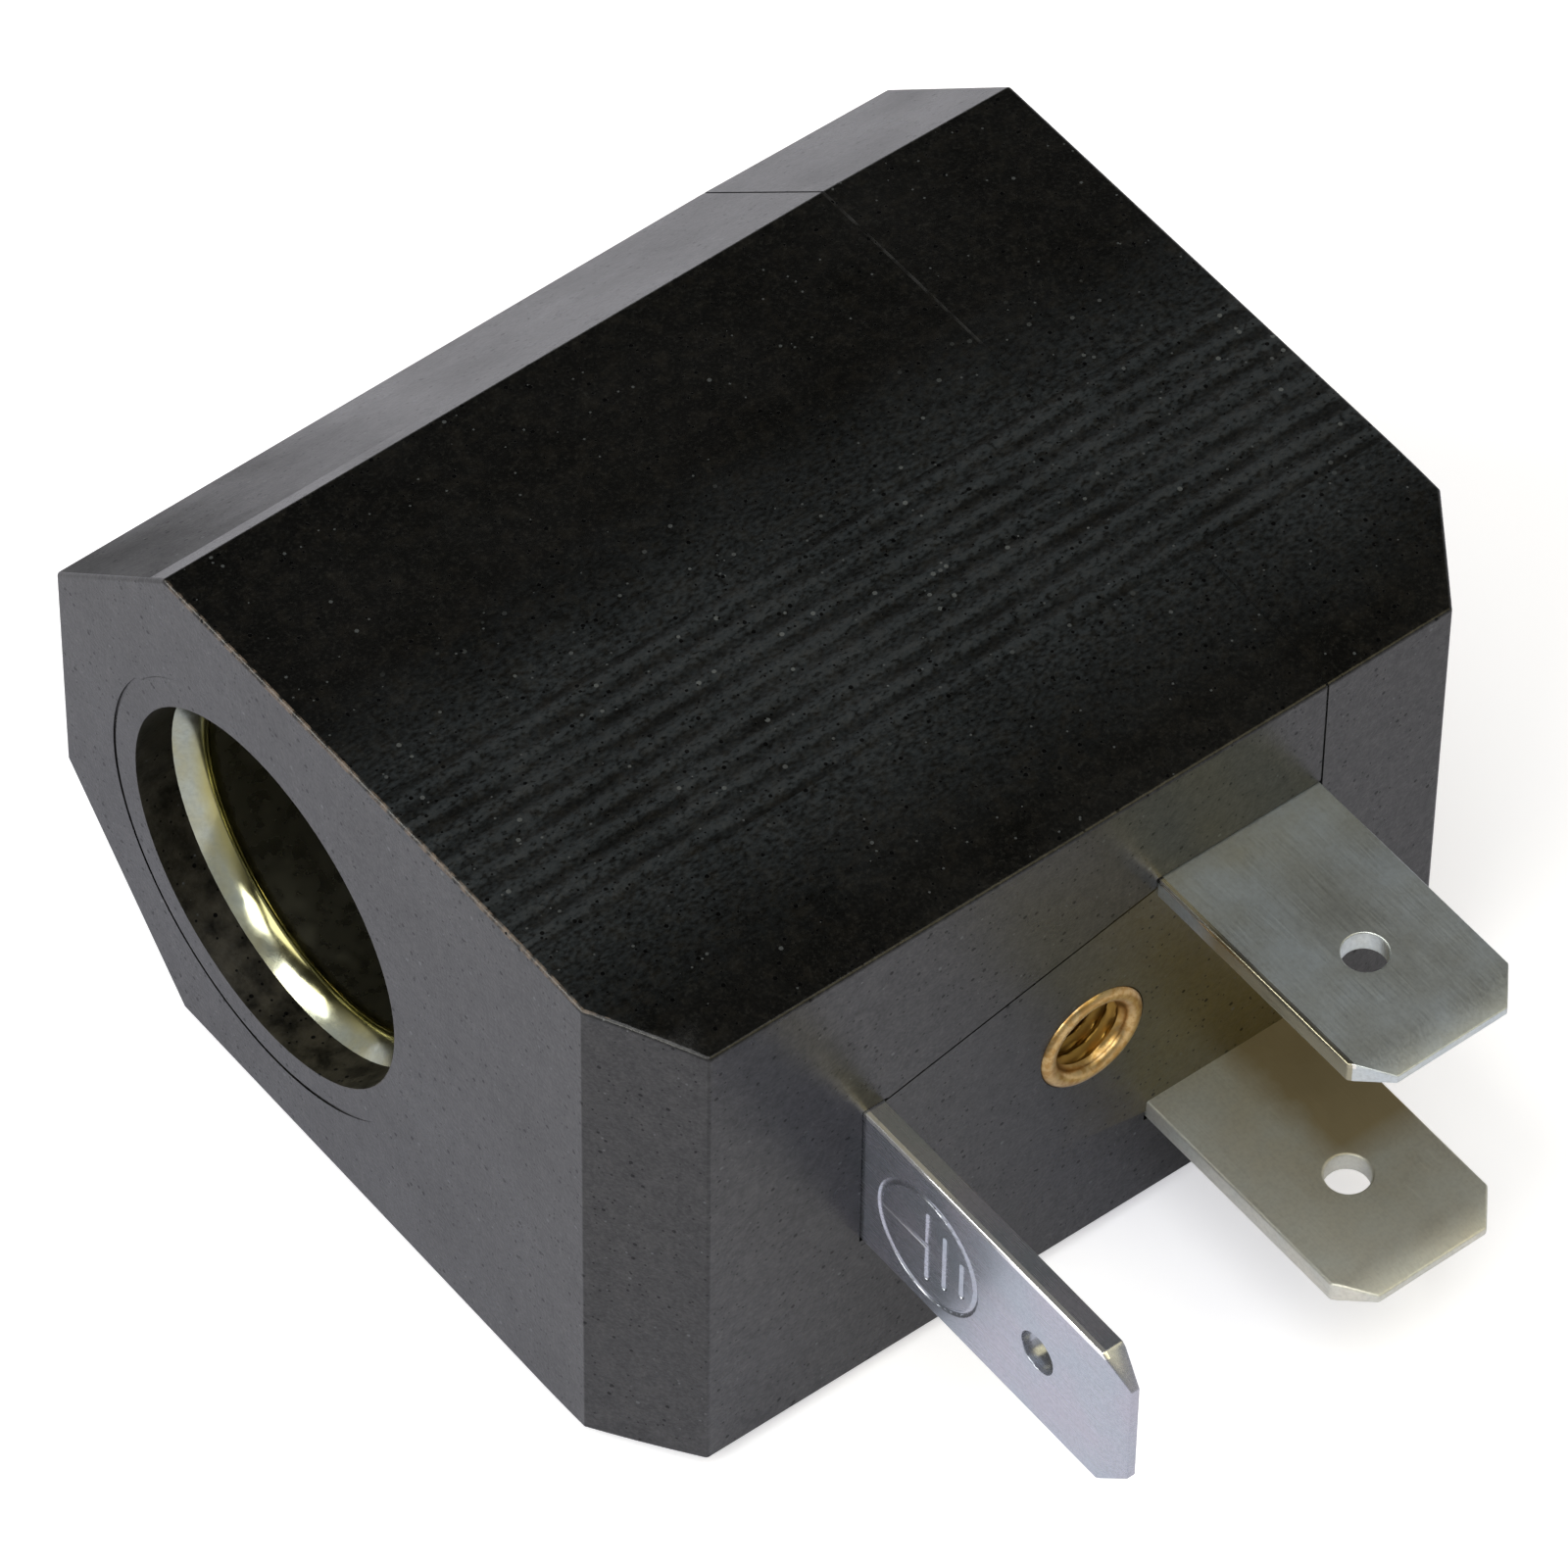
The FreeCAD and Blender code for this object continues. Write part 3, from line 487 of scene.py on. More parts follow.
# The lower blade's tin is painted lighter than the upper blade's, as painted light in the upper blade's
# shade, and carries the upper blade's painted shadow.
tin_aged_painted_lighter = metal_finish("tin_plate_aged_painted_lighter", (0.77, 0.75, 0.65), (0.67, 0.69, 0.64), 0.48, 0.58, along_y,
                        marks=[((0.43, 0.36, 0.22), 0.04, upper_blade_painted_shadow)])
# The earth blade's polished edge is painted white as a wide glint.
nickel_plate = metal_finish("nickel_plate", (0.43, 0.47, 0.53), (0.48, 0.47, 0.54), 0.22, 0.3, along_y,
                            line_depth=0.0008, metallic=0.84,
                            marks=[((1.0, 1.0, 1.0), -0.14, rubbed_earth_edge_painted_glint)])
bush_plate = metal_finish("bush_plate", (0.4, 0.43, 0.37), (0.39, 0.38, 0.25), 0.14, 0.2, even, line=0.5,
                          line_depth=0.0006, blotch=1.2,
                          marks=[((0.4, 0.36, 0.13), 0.0, yellow_lip),
                                 ((0.33, 0.32, 0.24), 0.12, inner_wall)])
# The insert's thread is painted darker as the shade inside its hole.
insert_brass = metal_finish("insert_brass", (0.62, 0.44, 0.2), (0.54, 0.36, 0.15), 0.26, 0.38, even,
                            line=0.08,
                            marks=[((0.4, 0.22, 0.06), 0.06, blotched_rim),
                                   ((0.34, 0.2, 0.045), 0.02, thread_painted_shade)])
yoke_steel = metal_finish("yoke_steel", (0.55, 0.55, 0.52), (0.48, 0.5, 0.5), 0.35, 0.5, along_x)
rivet_steel = metal_finish("rivet_steel", (0.6, 0.6, 0.6), (0.52, 0.53, 0.54), 0.3, 0.42, even, line=0.1)
solder_metal = metal_finish("solder", (0.7, 0.7, 0.7), (0.58, 0.58, 0.6), 0.22, 0.4, even, line=0.2,
                            line_depth=0.01)
enamelled_copper = metal_finish("enamelled_copper", (0.62, 0.26, 0.12), (0.5, 0.19, 0.08), 0.25, 0.35, even,
                                line=0.1)
enamelled_copper.node_tree.nodes["Principled BSDF"].inputs["Coat Weight"].default_value = 0.6
print(len(bpy.data.materials), "materials so far")

# %% [markdown]
# ## Tape and sleeves
# The winding is wrapped in thin yellow film, and each wire end wears a woven glass sleeve. Both are hidden
# inside the moulding. They still get a true finish, because a reader may take the moulding off.

# %% Finish of the tape and the sleeves
def film_finish(name, colour, other_colour, rough, stretch, line):
    """Thin film or weave with lines that run one way."""
    finish, tree, shader = start_finish(name)
    lines = noise_field(tree, line, stretch, detail=2.0)
    wrap = blend_colour(tree, lines, colour, other_colour)
    level = spread(tree, noise_field(tree, 1.5), rough - 0.05, rough + 0.05)
    connect(tree, shader, Base_Color=wrap, Roughness=level, Normal=bump(tree, lines, 0.01))
    return finish


yellow_tape = film_finish("yellow_tape", (0.75, 0.58, 0.13), (0.66, 0.5, 0.1), 0.3, (1, 12, 12), 0.4)
sleeve_weave = film_finish("sleeve", (0.75, 0.74, 0.68), (0.6, 0.58, 0.5), 0.75, even, 0.08)
print("film finishes:", yellow_tape.name, sleeve_weave.name)

# %% [markdown]
# ## Copies that can be shaded smooth
# A CAD node arrives as loose flat triangles. Its own mesh has to stay as it is, so a piece starts from a
# copy: the doubled points are merged, flat triangles are joined where edges will be rounded, and edges that
# turn by less than a given angle are shaded smooth. A Weighted Normal modifier then keeps the large faces
# flat.

# %% Helpers that make a piece from a CAD node
smooth_below = math.radians(32)
same_point = 0.0005 * mm
no_length = 0.0002 * mm
same_plane = math.radians(0.3)


def merged_copy(node_name, keep_triangles=True):
    """A bmesh of the node's faces with doubled points merged."""
    work = bmesh.new()
    work.from_mesh(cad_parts[node_name].data)
    bmesh.ops.remove_doubles(work, verts=work.verts, dist=same_point)
    bmesh.ops.dissolve_degenerate(work, edges=work.edges, dist=no_length)
    if not keep_triangles:
        bmesh.ops.dissolve_limit(work, angle_limit=same_plane, verts=work.verts, edges=work.edges)
    return work


def new_object(name, work):
    """Turns a bmesh into an object in the scene. The flat normals that came with the file are dropped."""
    mesh = bpy.data.meshes.new(name)
    work.to_mesh(mesh)
    work.free()
    if "custom_normal" in mesh.attributes:
        mesh.attributes.remove(mesh.attributes["custom_normal"])
    made = bpy.data.objects.new(name, mesh)
    bpy.context.scene.collection.objects.link(made)
    return made


def bake_modifiers(piece):
    """Replaces the object's mesh by the result of its modifiers and removes them."""
    bpy.context.view_layer.update()
    evaluated = piece.evaluated_get(bpy.context.evaluated_depsgraph_get())
    result = bpy.data.meshes.new_from_object(evaluated)
    piece.modifiers.clear()
    piece.data = result
    result.name = piece.name
    return piece


def shade(piece, angle=smooth_below):
    """Smooth shading with sharp edges kept and large faces flat."""
    piece.data.shade_smooth()
    piece.data.set_sharp_from_angle(angle=angle)
    weighted = piece.modifiers.new("keep_flats_flat", "WEIGHTED_NORMAL")
    weighted.keep_sharp = True
    return bake_modifiers(piece)


def finish_piece(piece, material, slot_name, *nodes):
    """Gives the piece its finish and the body it rides on. The slot name is not used."""
    piece.data.materials.clear()
    piece.data.materials.append(material)
    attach(piece, "root")
    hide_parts(*nodes)
    triangles = sum(len(face.vertices) - 2 for face in piece.data.polygons)
    print(f"{piece.name}: {triangles} triangles, stands for {', '.join(nodes)}")


# %% [markdown]
# ## The moulded body
# The outer skin is one casting with rounded edges, a parting line and eight low ribs along the top. In the
# CAD model the ribs are crisp strips. Real ones are soft waves, worn and uneven. So the top is opened,
# filled again with one flat face, cut into narrow strips, and a Geometry Nodes tree lifts the strips into
# waves. The tree's inputs are the ribs' own sizes, so the same tree would rib any flat face.

# %% Open and refill the top
draft = math.radians(0.5)
slack = 0.003 * mm
zone_near_y = rib_first_y - rib_count * rib_pitch
zone_far_y = rib_first_y + rib_pitch


def top_level(x):
    """Height of the drafted top face at one station along the bore."""
    return top_height - math.tan(draft) * abs(parting_x - x)


def is_on_top(vert):
    """True for a corner at or above the drafted top face."""
    return vert.co.z > top_level(vert.co.x) - slack


def is_under_ribs(vert):
    """True for a corner of the parting groove's floor below the ribs."""
    near_parting = abs(vert.co.x - parting_x) < 0.1 * mm
    below_ribs = zone_near_y + rib_pitch * 0.8 < vert.co.y < zone_far_y - rib_pitch
    return near_parting and below_ribs and vert.co.z > top_height - 0.2 * mm


def refill_top(work):
    """Takes the crisp ribs away and lays a flat face in their place. Returns the new faces."""
    on_top = [face for face in work.faces if all(is_on_top(vert) for vert in face.verts)]
    bmesh.ops.delete(work, geom=on_top, context="FACES")
    under = [face for face in work.faces if all(is_under_ribs(vert) for vert in face.verts)]
    bmesh.ops.delete(work, geom=under, context="FACES")
    for vert in work.verts:
        if is_on_top(vert) and zone_near_y < vert.co.y < zone_far_y:
            vert.co.z = top_level(vert.co.x)
    bmesh.ops.remove_doubles(work, verts=work.verts, dist=0.001 * mm)
    rim = [edge for edge in work.edges if edge.is_boundary]
    filled = bmesh.ops.edgeloop_fill(work, edges=rim)["faces"]
    print(len(on_top), "faces off the top,", len(rim), "edges round the gap,", len(filled), "faces laid in")
    return filled


def slice_faces(work, faces, axis, places):
    """Cuts the faces with planes square to one axis."""
    normal = Vector([float(number == axis) for number in range(3)])
    for place in places:
        parts = set(faces)
        geometry = list(parts | {e for f in parts for e in f.edges} | {v for f in parts for v in f.verts})
        cut = bmesh.ops.bisect_plane(work, geom=geometry, plane_co=normal * place, plane_no=normal, dist=1e-8)
        faces = [item for item in cut["geom"] if isinstance(item, bmesh.types.BMFace)]
    return faces


def fade_collar_mark(work):
    """Makes the fine ring round the bore shallow on the blades' side, where the real one has worn away."""
    for vert in work.verts:
        away = math.hypot(vert.co.y, vert.co.z)
        if ring_inner < away < ring_outer and 0.02 * mm < vert.co.x < 0.2 * mm:
            towards = (kept_side[0] * vert.co.y + kept_side[1] * vert.co.z) / away
            share = min(1.0, max(0.02, (towards + 0.1) / 0.5))
            vert.co.x *= share


ring_inner, ring_outer = 7.6 * mm, 8.0 * mm
kept_side = (0.77, -0.64)
flat_down_to_y = -13.84 * mm
steps_per_rib = 8
strips = [rib_first_y + rib_pitch * (0.5 - step / steps_per_rib)
          for step in range(rib_count * steps_per_rib + 1)]
first_slice, slice_step, slice_count = 0.55, 1.1, 30
parting_half_width = 0.04 * mm
stations = [(first_slice + slice_step * number) * mm for number in range(slice_count)]
stations += [parting_x - parting_half_width, parting_x, parting_x + parting_half_width]

body_work = merged_copy("overmould_body")
top_faces = slice_faces(body_work, refill_top(body_work), 0, stations)
for face in top_faces:
    for vert in face.verts:
        if vert.co.y > flat_down_to_y and vert.co.z > top_height - 0.3 * mm:
            vert.co.z = top_level(vert.co.x)
top_faces = slice_faces(body_work, top_faces, 1, strips)
bmesh.ops.recalc_face_normals(body_work, faces=body_work.faces)
fade_collar_mark(body_work)
body = new_object("moulded_body", body_work)
print("top cut into", len(top_faces), "faces")

# %% [markdown]
# The tree works out each point's place in the row of ribs. A cosine gives the wave, two ramps fade it out
# near the ends of the body, and slow noise makes some stretches lower than others, as on the real casting.

# %% Geometry Nodes tree for the ribs
def tree_with_inputs(name, **sizes):
    """A Geometry Nodes tree with one geometry and the named number inputs."""
    tree = bpy.data.node_groups.new(name, "GeometryNodeTree")
    tree.interface.new_socket("Geometry", in_out="INPUT", socket_type="NodeSocketGeometry")
    for size, value in sizes.items():
        kind = "NodeSocketInt" if isinstance(value, int) else "NodeSocketFloat"
        tree.interface.new_socket(size, in_out="INPUT", socket_type=kind).default_value = value
    tree.interface.new_socket("Finish", in_out="INPUT", socket_type="NodeSocketMaterial")
    tree.interface.new_socket("Geometry", in_out="OUTPUT", socket_type="NodeSocketGeometry")
    return tree, tree.nodes.new("NodeGroupInput").outputs, tree.nodes.new("NodeGroupOutput")


def close_tree(tree, given, ending, geometry):
    """Ends the tree in Realize Instances and Set Material."""
    real = add_node(tree, "GeometryNodeRealizeInstances", {0: geometry}).outputs[0]
    dressed = add_node(tree, "GeometryNodeSetMaterial", {"Geometry": real, "Material": given["Finish"]})
    tree.links.new(dressed.outputs[0], ending.inputs[0])


def run_tree(piece, tree, **values):
    """Runs a tree on the piece with the given inputs and bakes the result."""
    modifier = piece.modifiers.new(tree.name, "NODES")
    modifier.node_group = tree
    for item in tree.interface.items_tree:
        if item.in_out == "INPUT" and item.name in values:
            modifier[item.identifier] = values[item.name]
    return bake_modifiers(piece)


def ribs_tree():
    """Lifts points of the top into low waves."""
    tree, given, ending = tree_with_inputs("moulded_ribs", First=0.0, Pitch=1.0, Count=8, Height=0.0,
                                           Start=0.0, End=1.0, Fade=1.0, Level=0.0)
    place = add_node(tree, "ShaderNodeSeparateXYZ",
                     {0: add_node(tree, "GeometryNodeInputPosition").outputs[0]})
    x, y, z = place.outputs
    turns, wave = rib_wave(tree, y, given["First"], given["Pitch"])
    after_first = over(tree, turns, -0.5)
    before_last = under(tree, turns, math_node(tree, "SUBTRACT", given["Count"], 0.5))
    on_top = over(tree, z, given["Level"])
    rise = math_node(tree, "DIVIDE", math_node(tree, "SUBTRACT", x, given["Start"]), given["Fade"])
    fall = math_node(tree, "DIVIDE", math_node(tree, "SUBTRACT", given["End"], x), given["Fade"])
    ends = math_node(tree, "MAXIMUM",
                     math_node(tree, "MINIMUM", math_node(tree, "MINIMUM", rise, fall), 1.0), 0.0)
    uneven = add_node(tree, "ShaderNodeTexNoise", {"Scale": 260.0, "Detail": 2.0}).outputs["Fac"]
    amount = spread(tree, uneven, 0.6, 1.0, 0.35, 0.6)
    lift = product(tree, wave, after_first, before_last, on_top, ends, amount, given["Height"])
    offset = add_node(tree, "ShaderNodeCombineXYZ", {2: lift}).outputs[0]
    lifted = add_node(tree, "GeometryNodeSetPosition", {"Geometry": given["Geometry"], "Offset": offset})
    close_tree(tree, given, ending, lifted.outputs[0])
    return tree


run_tree(body, ribs_tree(), First=rib_first_y, Pitch=rib_pitch, Count=rib_count, Height=rib_height,
         Start=0.5 * mm, End=body_length - 0.5 * mm, Fade=0.9 * mm, Level=top_height - 0.4 * mm,
         Finish=moulded_black)
shade(body)
finish_piece(body, moulded_black, "moulded_black", "overmould_body")

# %% [markdown]
# ## Blades, yoke and rivet
# These are stamped or pressed metal whose edges are never knife sharp. The flat triangles are joined first,
# and then a narrow bevel rounds each edge that turns sharply. The stamped earth sign on one blade keeps its
# own grooves, so its edges are left out.

# %% Metal pieces with softened edges
least_turn = math.radians(28)


def soften_edges(work, width, keep_out=None):
    """Bevels the sharp edges of a bmesh, apart from those that keep_out says yes to."""
    sharp = []
    for edge in work.edges:
        if len(edge.link_faces) == 2 and edge.calc_face_angle(0) > least_turn:
            if not (keep_out and keep_out(edge)):
                sharp.append(edge)
    bmesh.ops.bevel(work, geom=sharp, offset=width, segments=3, profile=0.5, affect="EDGES",
                    clamp_overlap=True)
    return len(sharp)


def worked_piece(name, node, width, material, slot_name, keep_out=None):
    """A piece made from a CAD node with its edges softened."""
    work = merged_copy(node, keep_triangles=False)
    count = soften_edges(work, width, keep_out=keep_out)
    print(f"{name}: {count} edges softened by {width / mm:.3f} mm")
    finish_piece(shade(new_object(name, work)), material, slot_name, node)


def in_earth_mark(edge):
    """True for edges of the stamped sign, which lies inside the blade's front side."""
    middle = (edge.verts[0].co + edge.verts[1].co) / 2
    return -26.0 * mm < middle.y < -20.2 * mm and abs(middle.z) < 2.9 * mm


worked_piece("blade_upper", "power_terminal_upper", 0.09 * mm, tin_plate, "tin_plate")
worked_piece("blade_lower", "power_terminal_lower", 0.09 * mm, tin_aged_painted_lighter, "tin_plate")
worked_piece("blade_earth", "earth_terminal", 0.11 * mm, nickel_plate, "nickel_plate", in_earth_mark)
worked_piece("yoke", "yoke_frame", 0.08 * mm, yoke_steel, "yoke_steel")
worked_piece("foot_rivet", "earth_rivet", 0.05 * mm, rivet_steel, "rivet_steel")

# %% [markdown]
# ## Turned pieces
# The bushes and the insert are turned on a lathe, and a lathe is easy to copy in code: an outline of places
# along the axis and away from it is carried round in equal steps. All these pieces are rings with a hole,
# so the last row of places is joined to the first, and no pole is left to close. The radius may also change
# round the axis, which is how the thread is cut.

# %% A helper that turns an outline
def turned(name, outline, around, to_place, cut=None):
    """Turns (along, radius) places round an axis. The last row is joined to the first."""
    work = bmesh.new()
    rows = []
    for row_number, (along, radius) in enumerate(outline):
        row = []
        for step in range(around):
            angle = math.tau * step / around
            depth = cut(row_number, angle) if cut else 0
            row.append(work.verts.new(to_place(along, radius + depth, angle)))
        rows.append(row)
    for first, second in zip(rows, rows[1:] + rows[:1]):
        for step in range(around):
            after = (step + 1) % around
            work.faces.new([first[step], first[after], second[after], second[step]])
    bmesh.ops.recalc_face_normals(work, faces=work.faces)
    return new_object(name, work)


# %% [markdown]
# A bush is a short steel tube with a flared mouth where the valve's tube is pushed in. The flare catches
# the brightest lights of the whole part, so it gets many steps. It is nearly a cone, steeper at the mouth,
# and ends in the fine dark groove where the flaring tool stopped.

# %% Steel bushes
bore_radius = 6.1 * mm
mouth_round = 0.6 * mm
flare_length = 0.9 * mm
flare_bend = 1.5
flare_steps = 16
groove_after_flare = ((0.02, 0.1), (0.11, 0.1), (0.13, 0.0))
bush_outer = bush_high.z


def bush_outline(mouth, inward, length):
    """Outline of a bush whose mouth opens at one place along the bore."""
    outline = []
    for step in range(flare_steps + 1):
        share = step / flare_steps
        along = mouth + inward * flare_length * share
        outline.append((along, bore_radius + mouth_round * (1 - share) ** flare_bend))
    for deep, wide in groove_after_flare:
        outline.append((mouth + inward * (flare_length + deep * mm), bore_radius + wide * mm))
    inner_end = mouth + inward * length
    chamfer = 0.1 * mm
    outline += [(inner_end - inward * chamfer, bore_radius), (inner_end, bore_radius + chamfer)]
    outline += [(inner_end, bush_outer), (mouth, bush_outer)]
    return outline


def along_bore(along, radius, angle):
    """Place in the part for a piece turned round the bore."""
    return Vector((along, radius * math.sin(angle), radius * math.cos(angle)))


bush_length = bush_high.x - bush_low.x
for end_name, mouth_x, inward in (("front", bush_low.x, 1), ("rear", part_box("rear_flux_bush")[1].x, -1)):
    bush = turned(f"bush_{end_name}", bush_outline(mouth_x, inward, bush_length), 160, along_bore)
    finish_piece(shade(bush, math.radians(20)), bush_plate, "bush_plate", f"{end_name}_flux_bush")

# %% [markdown]
# The insert takes the plug's M3 screw. In the CAD model its hole is plain. Here the rim is a rolled bead
# and the hole gets its thread: the radius follows a triangle wave that moves along by one pitch with each
# turn.

# %% Brass insert with its thread
insert_mouth = insert_low.y
insert_x = (insert_low.x + insert_high.x) / 2
thread_pitch = 0.5 * mm
core_radius = 1.25 * mm
thread_depth = 0.24 * mm
insert_radius = 2.0 * mm
insert_length = insert_high.y - insert_low.y
bead_radius = 0.31 * mm
bead_steps = 14
steps_per_turn = 10
flank_slope = 2.3
run_out_rows = 6


def insert_rows():
    """Outline from the deep end up the outside, over the rim and down the thread, and the thread's rows."""
    length = insert_length
    groove_floor = insert_radius - 0.25 * mm
    far_side, near_side = 3.65 * mm, 2.85 * mm
    outside = [(length, core_radius), (length, insert_radius - 0.1 * mm), (length - 0.1 * mm, insert_radius)]
    outside += [(far_side, insert_radius), (far_side, groove_floor), (near_side, groove_floor)]
    outside += [(near_side, insert_radius)]
    rim = []
    for step in range(bead_steps + 1):
        angle = math.radians(90 + 180 * step / bead_steps)
        away = insert_radius - bead_radius + bead_radius * math.sin(angle)
        rim.append((bead_radius + bead_radius * math.cos(angle), away))
    rows = outside + rim + [(0.42 * mm, core_radius + 0.04 * mm)]
    first = len(rows)
    start = 0.46 * mm
    steps = int((length - start) / (thread_pitch / steps_per_turn))
    rows += [(start + number * thread_pitch / steps_per_turn, core_radius) for number in range(steps)]
    return rows, range(first, len(rows))


rows, thread_rows = insert_rows()


def thread_cut(row_number, angle):
    """How far the thread reaches outwards at one row and angle."""
    if row_number not in thread_rows:
        return 0
    turns = (rows[row_number][0] / thread_pitch - angle / math.tau) % 1.0
    fade = min(1.0, (len(rows) - 1 - row_number) / run_out_rows)
    return thread_depth * max(0.0, 1 - abs(turns - 0.5) * flank_slope) * fade


def along_insert(along, radius, angle):
    """Place in the part for a piece turned round the insert's axis."""
    return Vector((insert_x + radius * math.cos(angle), insert_mouth + along, radius * math.sin(angle)))


insert = turned("thread_insert", rows, 64, along_insert, thread_cut)
finish_piece(shade(insert, math.radians(40)), insert_brass, "insert_brass", "threaded_insert")

# %% [markdown]
# ## The winding
# Some eighty turns of enamelled wire lie side by side on the bobbin. One turn is a circle of wire, and
# Geometry Nodes repeats it along the bore. A plain core under the outer layer stands for the layers that
# never show.

# %% Geometry Nodes tree for the turns of wire
def winding_tree():
    """Puts rings of wire side by side along the bore."""
    tree, given, ending = tree_with_inputs("turns_of_wire", Turns=10, Pitch=1.0, Radius=1.0, Wire=0.1)
    step = add_node(tree, "ShaderNodeCombineXYZ", {0: given["Pitch"]}).outputs[0]
    row = add_node(tree, "GeometryNodeMeshLine", {"Count": given["Turns"], "Offset": step},
                   mode="OFFSET").outputs[0]
    circle = add_node(tree, "GeometryNodeCurvePrimitiveCircle", {"Resolution": 64, "Radius": given["Radius"]})
    wire = add_node(tree, "GeometryNodeCurvePrimitiveCircle", {"Resolution": 6, "Radius": given["Wire"]})
    ring = add_node(tree, "GeometryNodeCurveToMesh", {0: circle.outputs[0], 1: wire.outputs[0]}).outputs[0]
    rings = add_node(tree, "GeometryNodeInstanceOnPoints",
                     {"Points": row, "Instance": ring, "Rotation": (0, math.radians(90), 0)}).outputs[0]
    all_rings = add_node(tree, "GeometryNodeJoinGeometry", {0: rings})
    tree.links.new(given["Geometry"], all_rings.inputs[0])
    close_tree(tree, given, ending, all_rings.outputs[0])
    return tree


wind_low, wind_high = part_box("winding")
wire_radius = 0.15 * mm
turn_count = int((wind_high.x - wind_low.x) / (2 * wire_radius))
core_top = wind_high.z - wire_radius
bobbin_barrel = 7.7 * mm
core = turned("coil_winding", [(wind_low.x, bobbin_barrel), (wind_low.x, core_top), (wind_high.x, core_top),
                               (wind_high.x, bobbin_barrel)], 96, along_bore)
turns = new_object("turns", bmesh.new())
run_tree(turns, winding_tree(), Turns=turn_count, Pitch=2 * wire_radius, Radius=core_top, Wire=wire_radius)
turns.data.transform(Matrix.Translation((wind_low.x + wire_radius, 0, 0)))
joined = bmesh.new()
for part in (core, turns):
    joined.from_mesh(part.data)
bpy.data.objects.remove(turns)
joined.to_mesh(core.data)
joined.free()
finish_piece(shade(core), enamelled_copper, "enamelled_copper", "winding")
print(turn_count, "turns of wire in the outer layer")

# %% [markdown]
# ## Pieces whose CAD shape is already right
# The rest need no new shape: each gets a merged copy with smooth shading and its own finish. Only the
# block's lower edge moves out by the width of the seam, because the real seam under the insert has closed.

# %% Smooth copies of the other pieces
seam_width = 0.08 * mm


def close_lower_seam(work):
    """Moves the two ends of the block's lower edge, on the terminal face, down to the body."""
    moved = 0
    for vert in work.verts:
        on_face = vert.co.y < -19.6 * mm
        on_edge = lower_blade_low.z < vert.co.z < -3.0 * mm and vert.co.x < lower_blade_low.x + 0.05 * mm
        if on_face and on_edge:
            vert.co.z -= seam_width
            moved += 1
    print(moved, "corners of the block moved to close the lower seam")


plain_pieces = (
    ("plug_block", "terminal_block", block_black, "block_black"),
    ("bobbin_spool", "bobbin", bobbin_plastic, "bobbin_plastic"),
    ("tape_wrap", "winding_tape", yellow_tape, "yellow_tape"),
    ("wire_end_start", "lead_wire_start", enamelled_copper, "enamelled_copper"),
    ("wire_end_finish", "lead_wire_end", enamelled_copper, "enamelled_copper"),
    ("sleeve_start", "lead_sleeve_start", sleeve_weave, "sleeve"),
    ("sleeve_finish", "lead_sleeve_end", sleeve_weave, "sleeve"),
    ("solder_start", "solder_joint_start", solder_metal, "solder"),
    ("solder_finish", "solder_joint_end", solder_metal, "solder"),
)
for name, node, material, slot_name in plain_pieces:
    work = merged_copy(node)
    if node == "terminal_block":
        close_lower_seam(work)
    finish_piece(shade(new_object(name, work)), material, slot_name, node)

# %% [markdown]
# ## Floor, air and lamps
# The coil lies on a pale floor. A black satin part shows little of its own colour and mostly mirrors its
# surroundings: its upright sides mirror the floor, so the floor is bright, and its top mirrors the air up
# behind it, so that part of the air stays dark. A window of two panes at the left draws the bright lines on
# the bore.

# %% Floor
def studio_floor(height, reach):
    """A large plane, white with a grey shadow to the camera and a cool white to the part."""
    work = bmesh.new()
    corners = ((-reach, -reach), (reach, -reach), (reach, reach), (-reach, reach))
    work.faces.new([work.verts.new((x, y, height)) for x, y in corners])
    floor = new_object("studio_floor", work)
    paper, tree, shader = start_finish("floor_paper")
    shader.inputs["Roughness"].default_value = 0.9
    shader.inputs["Specular IOR Level"].default_value = 0.0
    cool = blend_colour(tree, noise_field(tree, 8.0), (0.83, 0.84, 0.96), (0.86, 0.86, 0.97))
    path = add_node(tree, "ShaderNodeLightPath").outputs
    connect(tree, shader, Base_Color=blend_colour(tree, path["Is Camera Ray"], cool, (0.88, 0.88, 0.88)))
    mirrored = math_node(tree, "MULTIPLY", path["Is Glossy Ray"], 0.1)
    lift = math_node(tree, "MULTIPLY_ADD", path["Is Camera Ray"], 0.5, mirrored)
    glow = add_node(tree, "ShaderNodeEmission",
                    {"Color": (0.95, 0.95, 1.0, 1.0), "Strength": lift}).outputs[0]
    both = add_node(tree, "ShaderNodeAddShader", {0: shader.outputs[0], 1: glow}).outputs[0]
    tree.links.new(both, next(item for item in tree.nodes if item.type == "OUTPUT_MATERIAL").inputs[0])
    floor.data.materials.append(paper)
    print("floor at", round(height / mm, 2), "mm")


studio_floor(body_low.z, 3.0)

# %% [markdown]
# The air is white where the camera looks at it. For every other ray it is a soft grey that is lighter near
# the horizon and dim overhead.

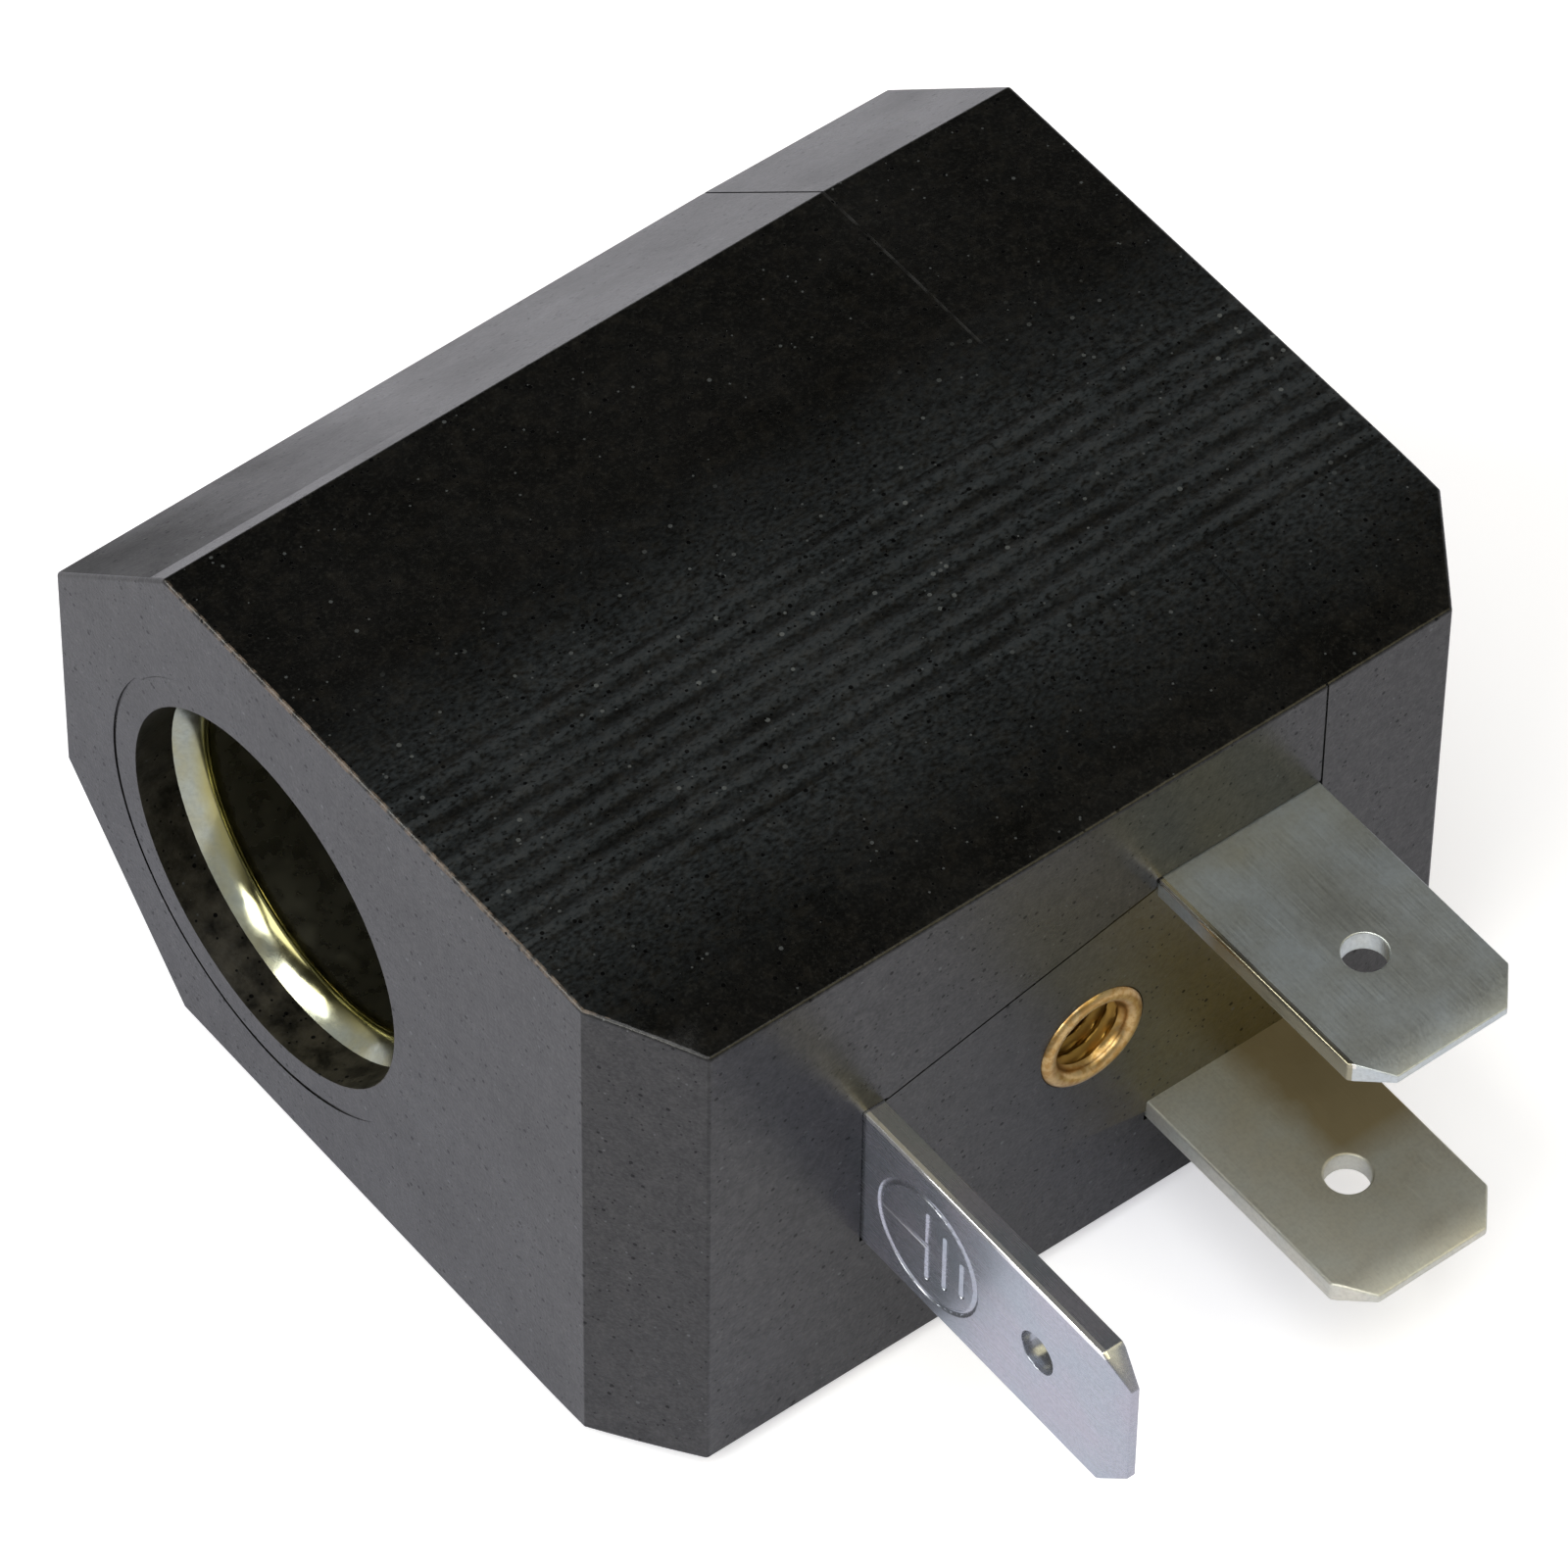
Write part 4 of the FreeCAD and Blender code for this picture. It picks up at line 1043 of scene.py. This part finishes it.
# %% Air
def studio_air(horizon, overhead):
    """World light for reflections, and plain white for the camera."""
    world = bpy.data.worlds.new("studio_air")
    world.use_nodes = True
    tree = world.node_tree
    background = next(item for item in tree.nodes if item.type == "BACKGROUND")
    direction = add_node(tree, "ShaderNodeTexCoord").outputs["Generated"]
    height = add_node(tree, "ShaderNodeSeparateXYZ", {0: direction}).outputs[2]
    grey = spread(tree, height, horizon, overhead, 0.28, 0.68)
    seen = add_node(tree, "ShaderNodeLightPath").outputs["Is Camera Ray"]
    tone = add_node(tree, "ShaderNodeCombineColor", {0: grey, 1: grey, 2: grey}).outputs[0]
    tree.links.new(blend_colour(tree, seen, tone, (1, 1, 1)), background.inputs["Color"])
    bpy.context.scene.world = world
    print("air from", horizon, "to", overhead)


studio_air(0.55, 0.028)

# %% [markdown]
# Lamps are placed by their direction from the part, as a photographer would say it: so many degrees round
# from the blades' side, so many up, and so far away.

# %% Lamps
target = Vector((15, -5, 0)) * mm


def direction_to(azimuth, elevation):
    """Unit vector from the part towards a lamp. Azimuth 0 is the side that the blades point to."""
    turn, rise = math.radians(azimuth), math.radians(elevation)
    return Vector((math.sin(turn) * math.cos(rise), -math.cos(turn) * math.cos(rise), math.sin(rise)))


def softbox(name, azimuth, elevation, distance, width, height, watts, colour=(1, 1, 1)):
    """A rectangular lamp that faces the part."""
    light = bpy.data.lights.new(name, "AREA")
    light.shape = "RECTANGLE"
    light.size, light.size_y = width, height
    light.energy = watts
    light.color = colour
    lamp = bpy.data.objects.new(name, light)
    lamp.location = target + direction_to(azimuth, elevation) * distance
    lamp.rotation_euler = direction_to(azimuth, elevation).to_track_quat("Z", "Y").to_euler()
    bpy.context.scene.collection.objects.link(lamp)
    print(f"lamp {name}: {watts} W from {azimuth} round and {elevation} up")


daylight = (1.0, 0.99, 0.92)
lamplight = (1.0, 0.88, 0.52)
softbox("window_left_pane", -67, 36, 0.8, 0.3, 0.22, 1.7, daylight)
softbox("window_right_pane", -119, 32, 0.8, 0.4, 0.26, 2.9, daylight)
softbox("overhead", -45, 72, 0.9, 0.6, 0.6, 3.6)
softbox("front_right", 37, 50, 0.9, 0.6, 0.5, 1.45, lamplight)

# %% [markdown]
# ## Camera
# The camera stands in front of the part, to its left and above, and looks through a long lens.

# %% Camera
def studio_camera(eye, right, up, lens):
    """Makes the scene's camera from its place and two of its axes."""
    across, upward = Vector(right).normalized(), Vector(up).normalized()
    backward = across.cross(upward).normalized()
    upward = backward.cross(across)
    matrix = Matrix((across, upward, backward)).transposed().to_4x4()
    matrix.translation = Vector(eye) * mm
    data = bpy.data.cameras.new("studio_camera")
    data.lens = lens
    data.sensor_width = 36.0
    camera = bpy.data.objects.new("studio_camera", data)
    camera.matrix_world = matrix
    bpy.context.scene.collection.objects.link(camera)
    bpy.context.scene.camera = camera
    print("camera", round(Vector(eye).length), "mm away, lens", lens, "mm")


studio_camera((-124.944, -181.390, 275.541), (0.78721081, -0.61661579, 0.00917146),
              (0.47348492, 0.61387579, 0.63163957), 262.77)
bpy.context.scene.view_settings.view_transform = "Standard"
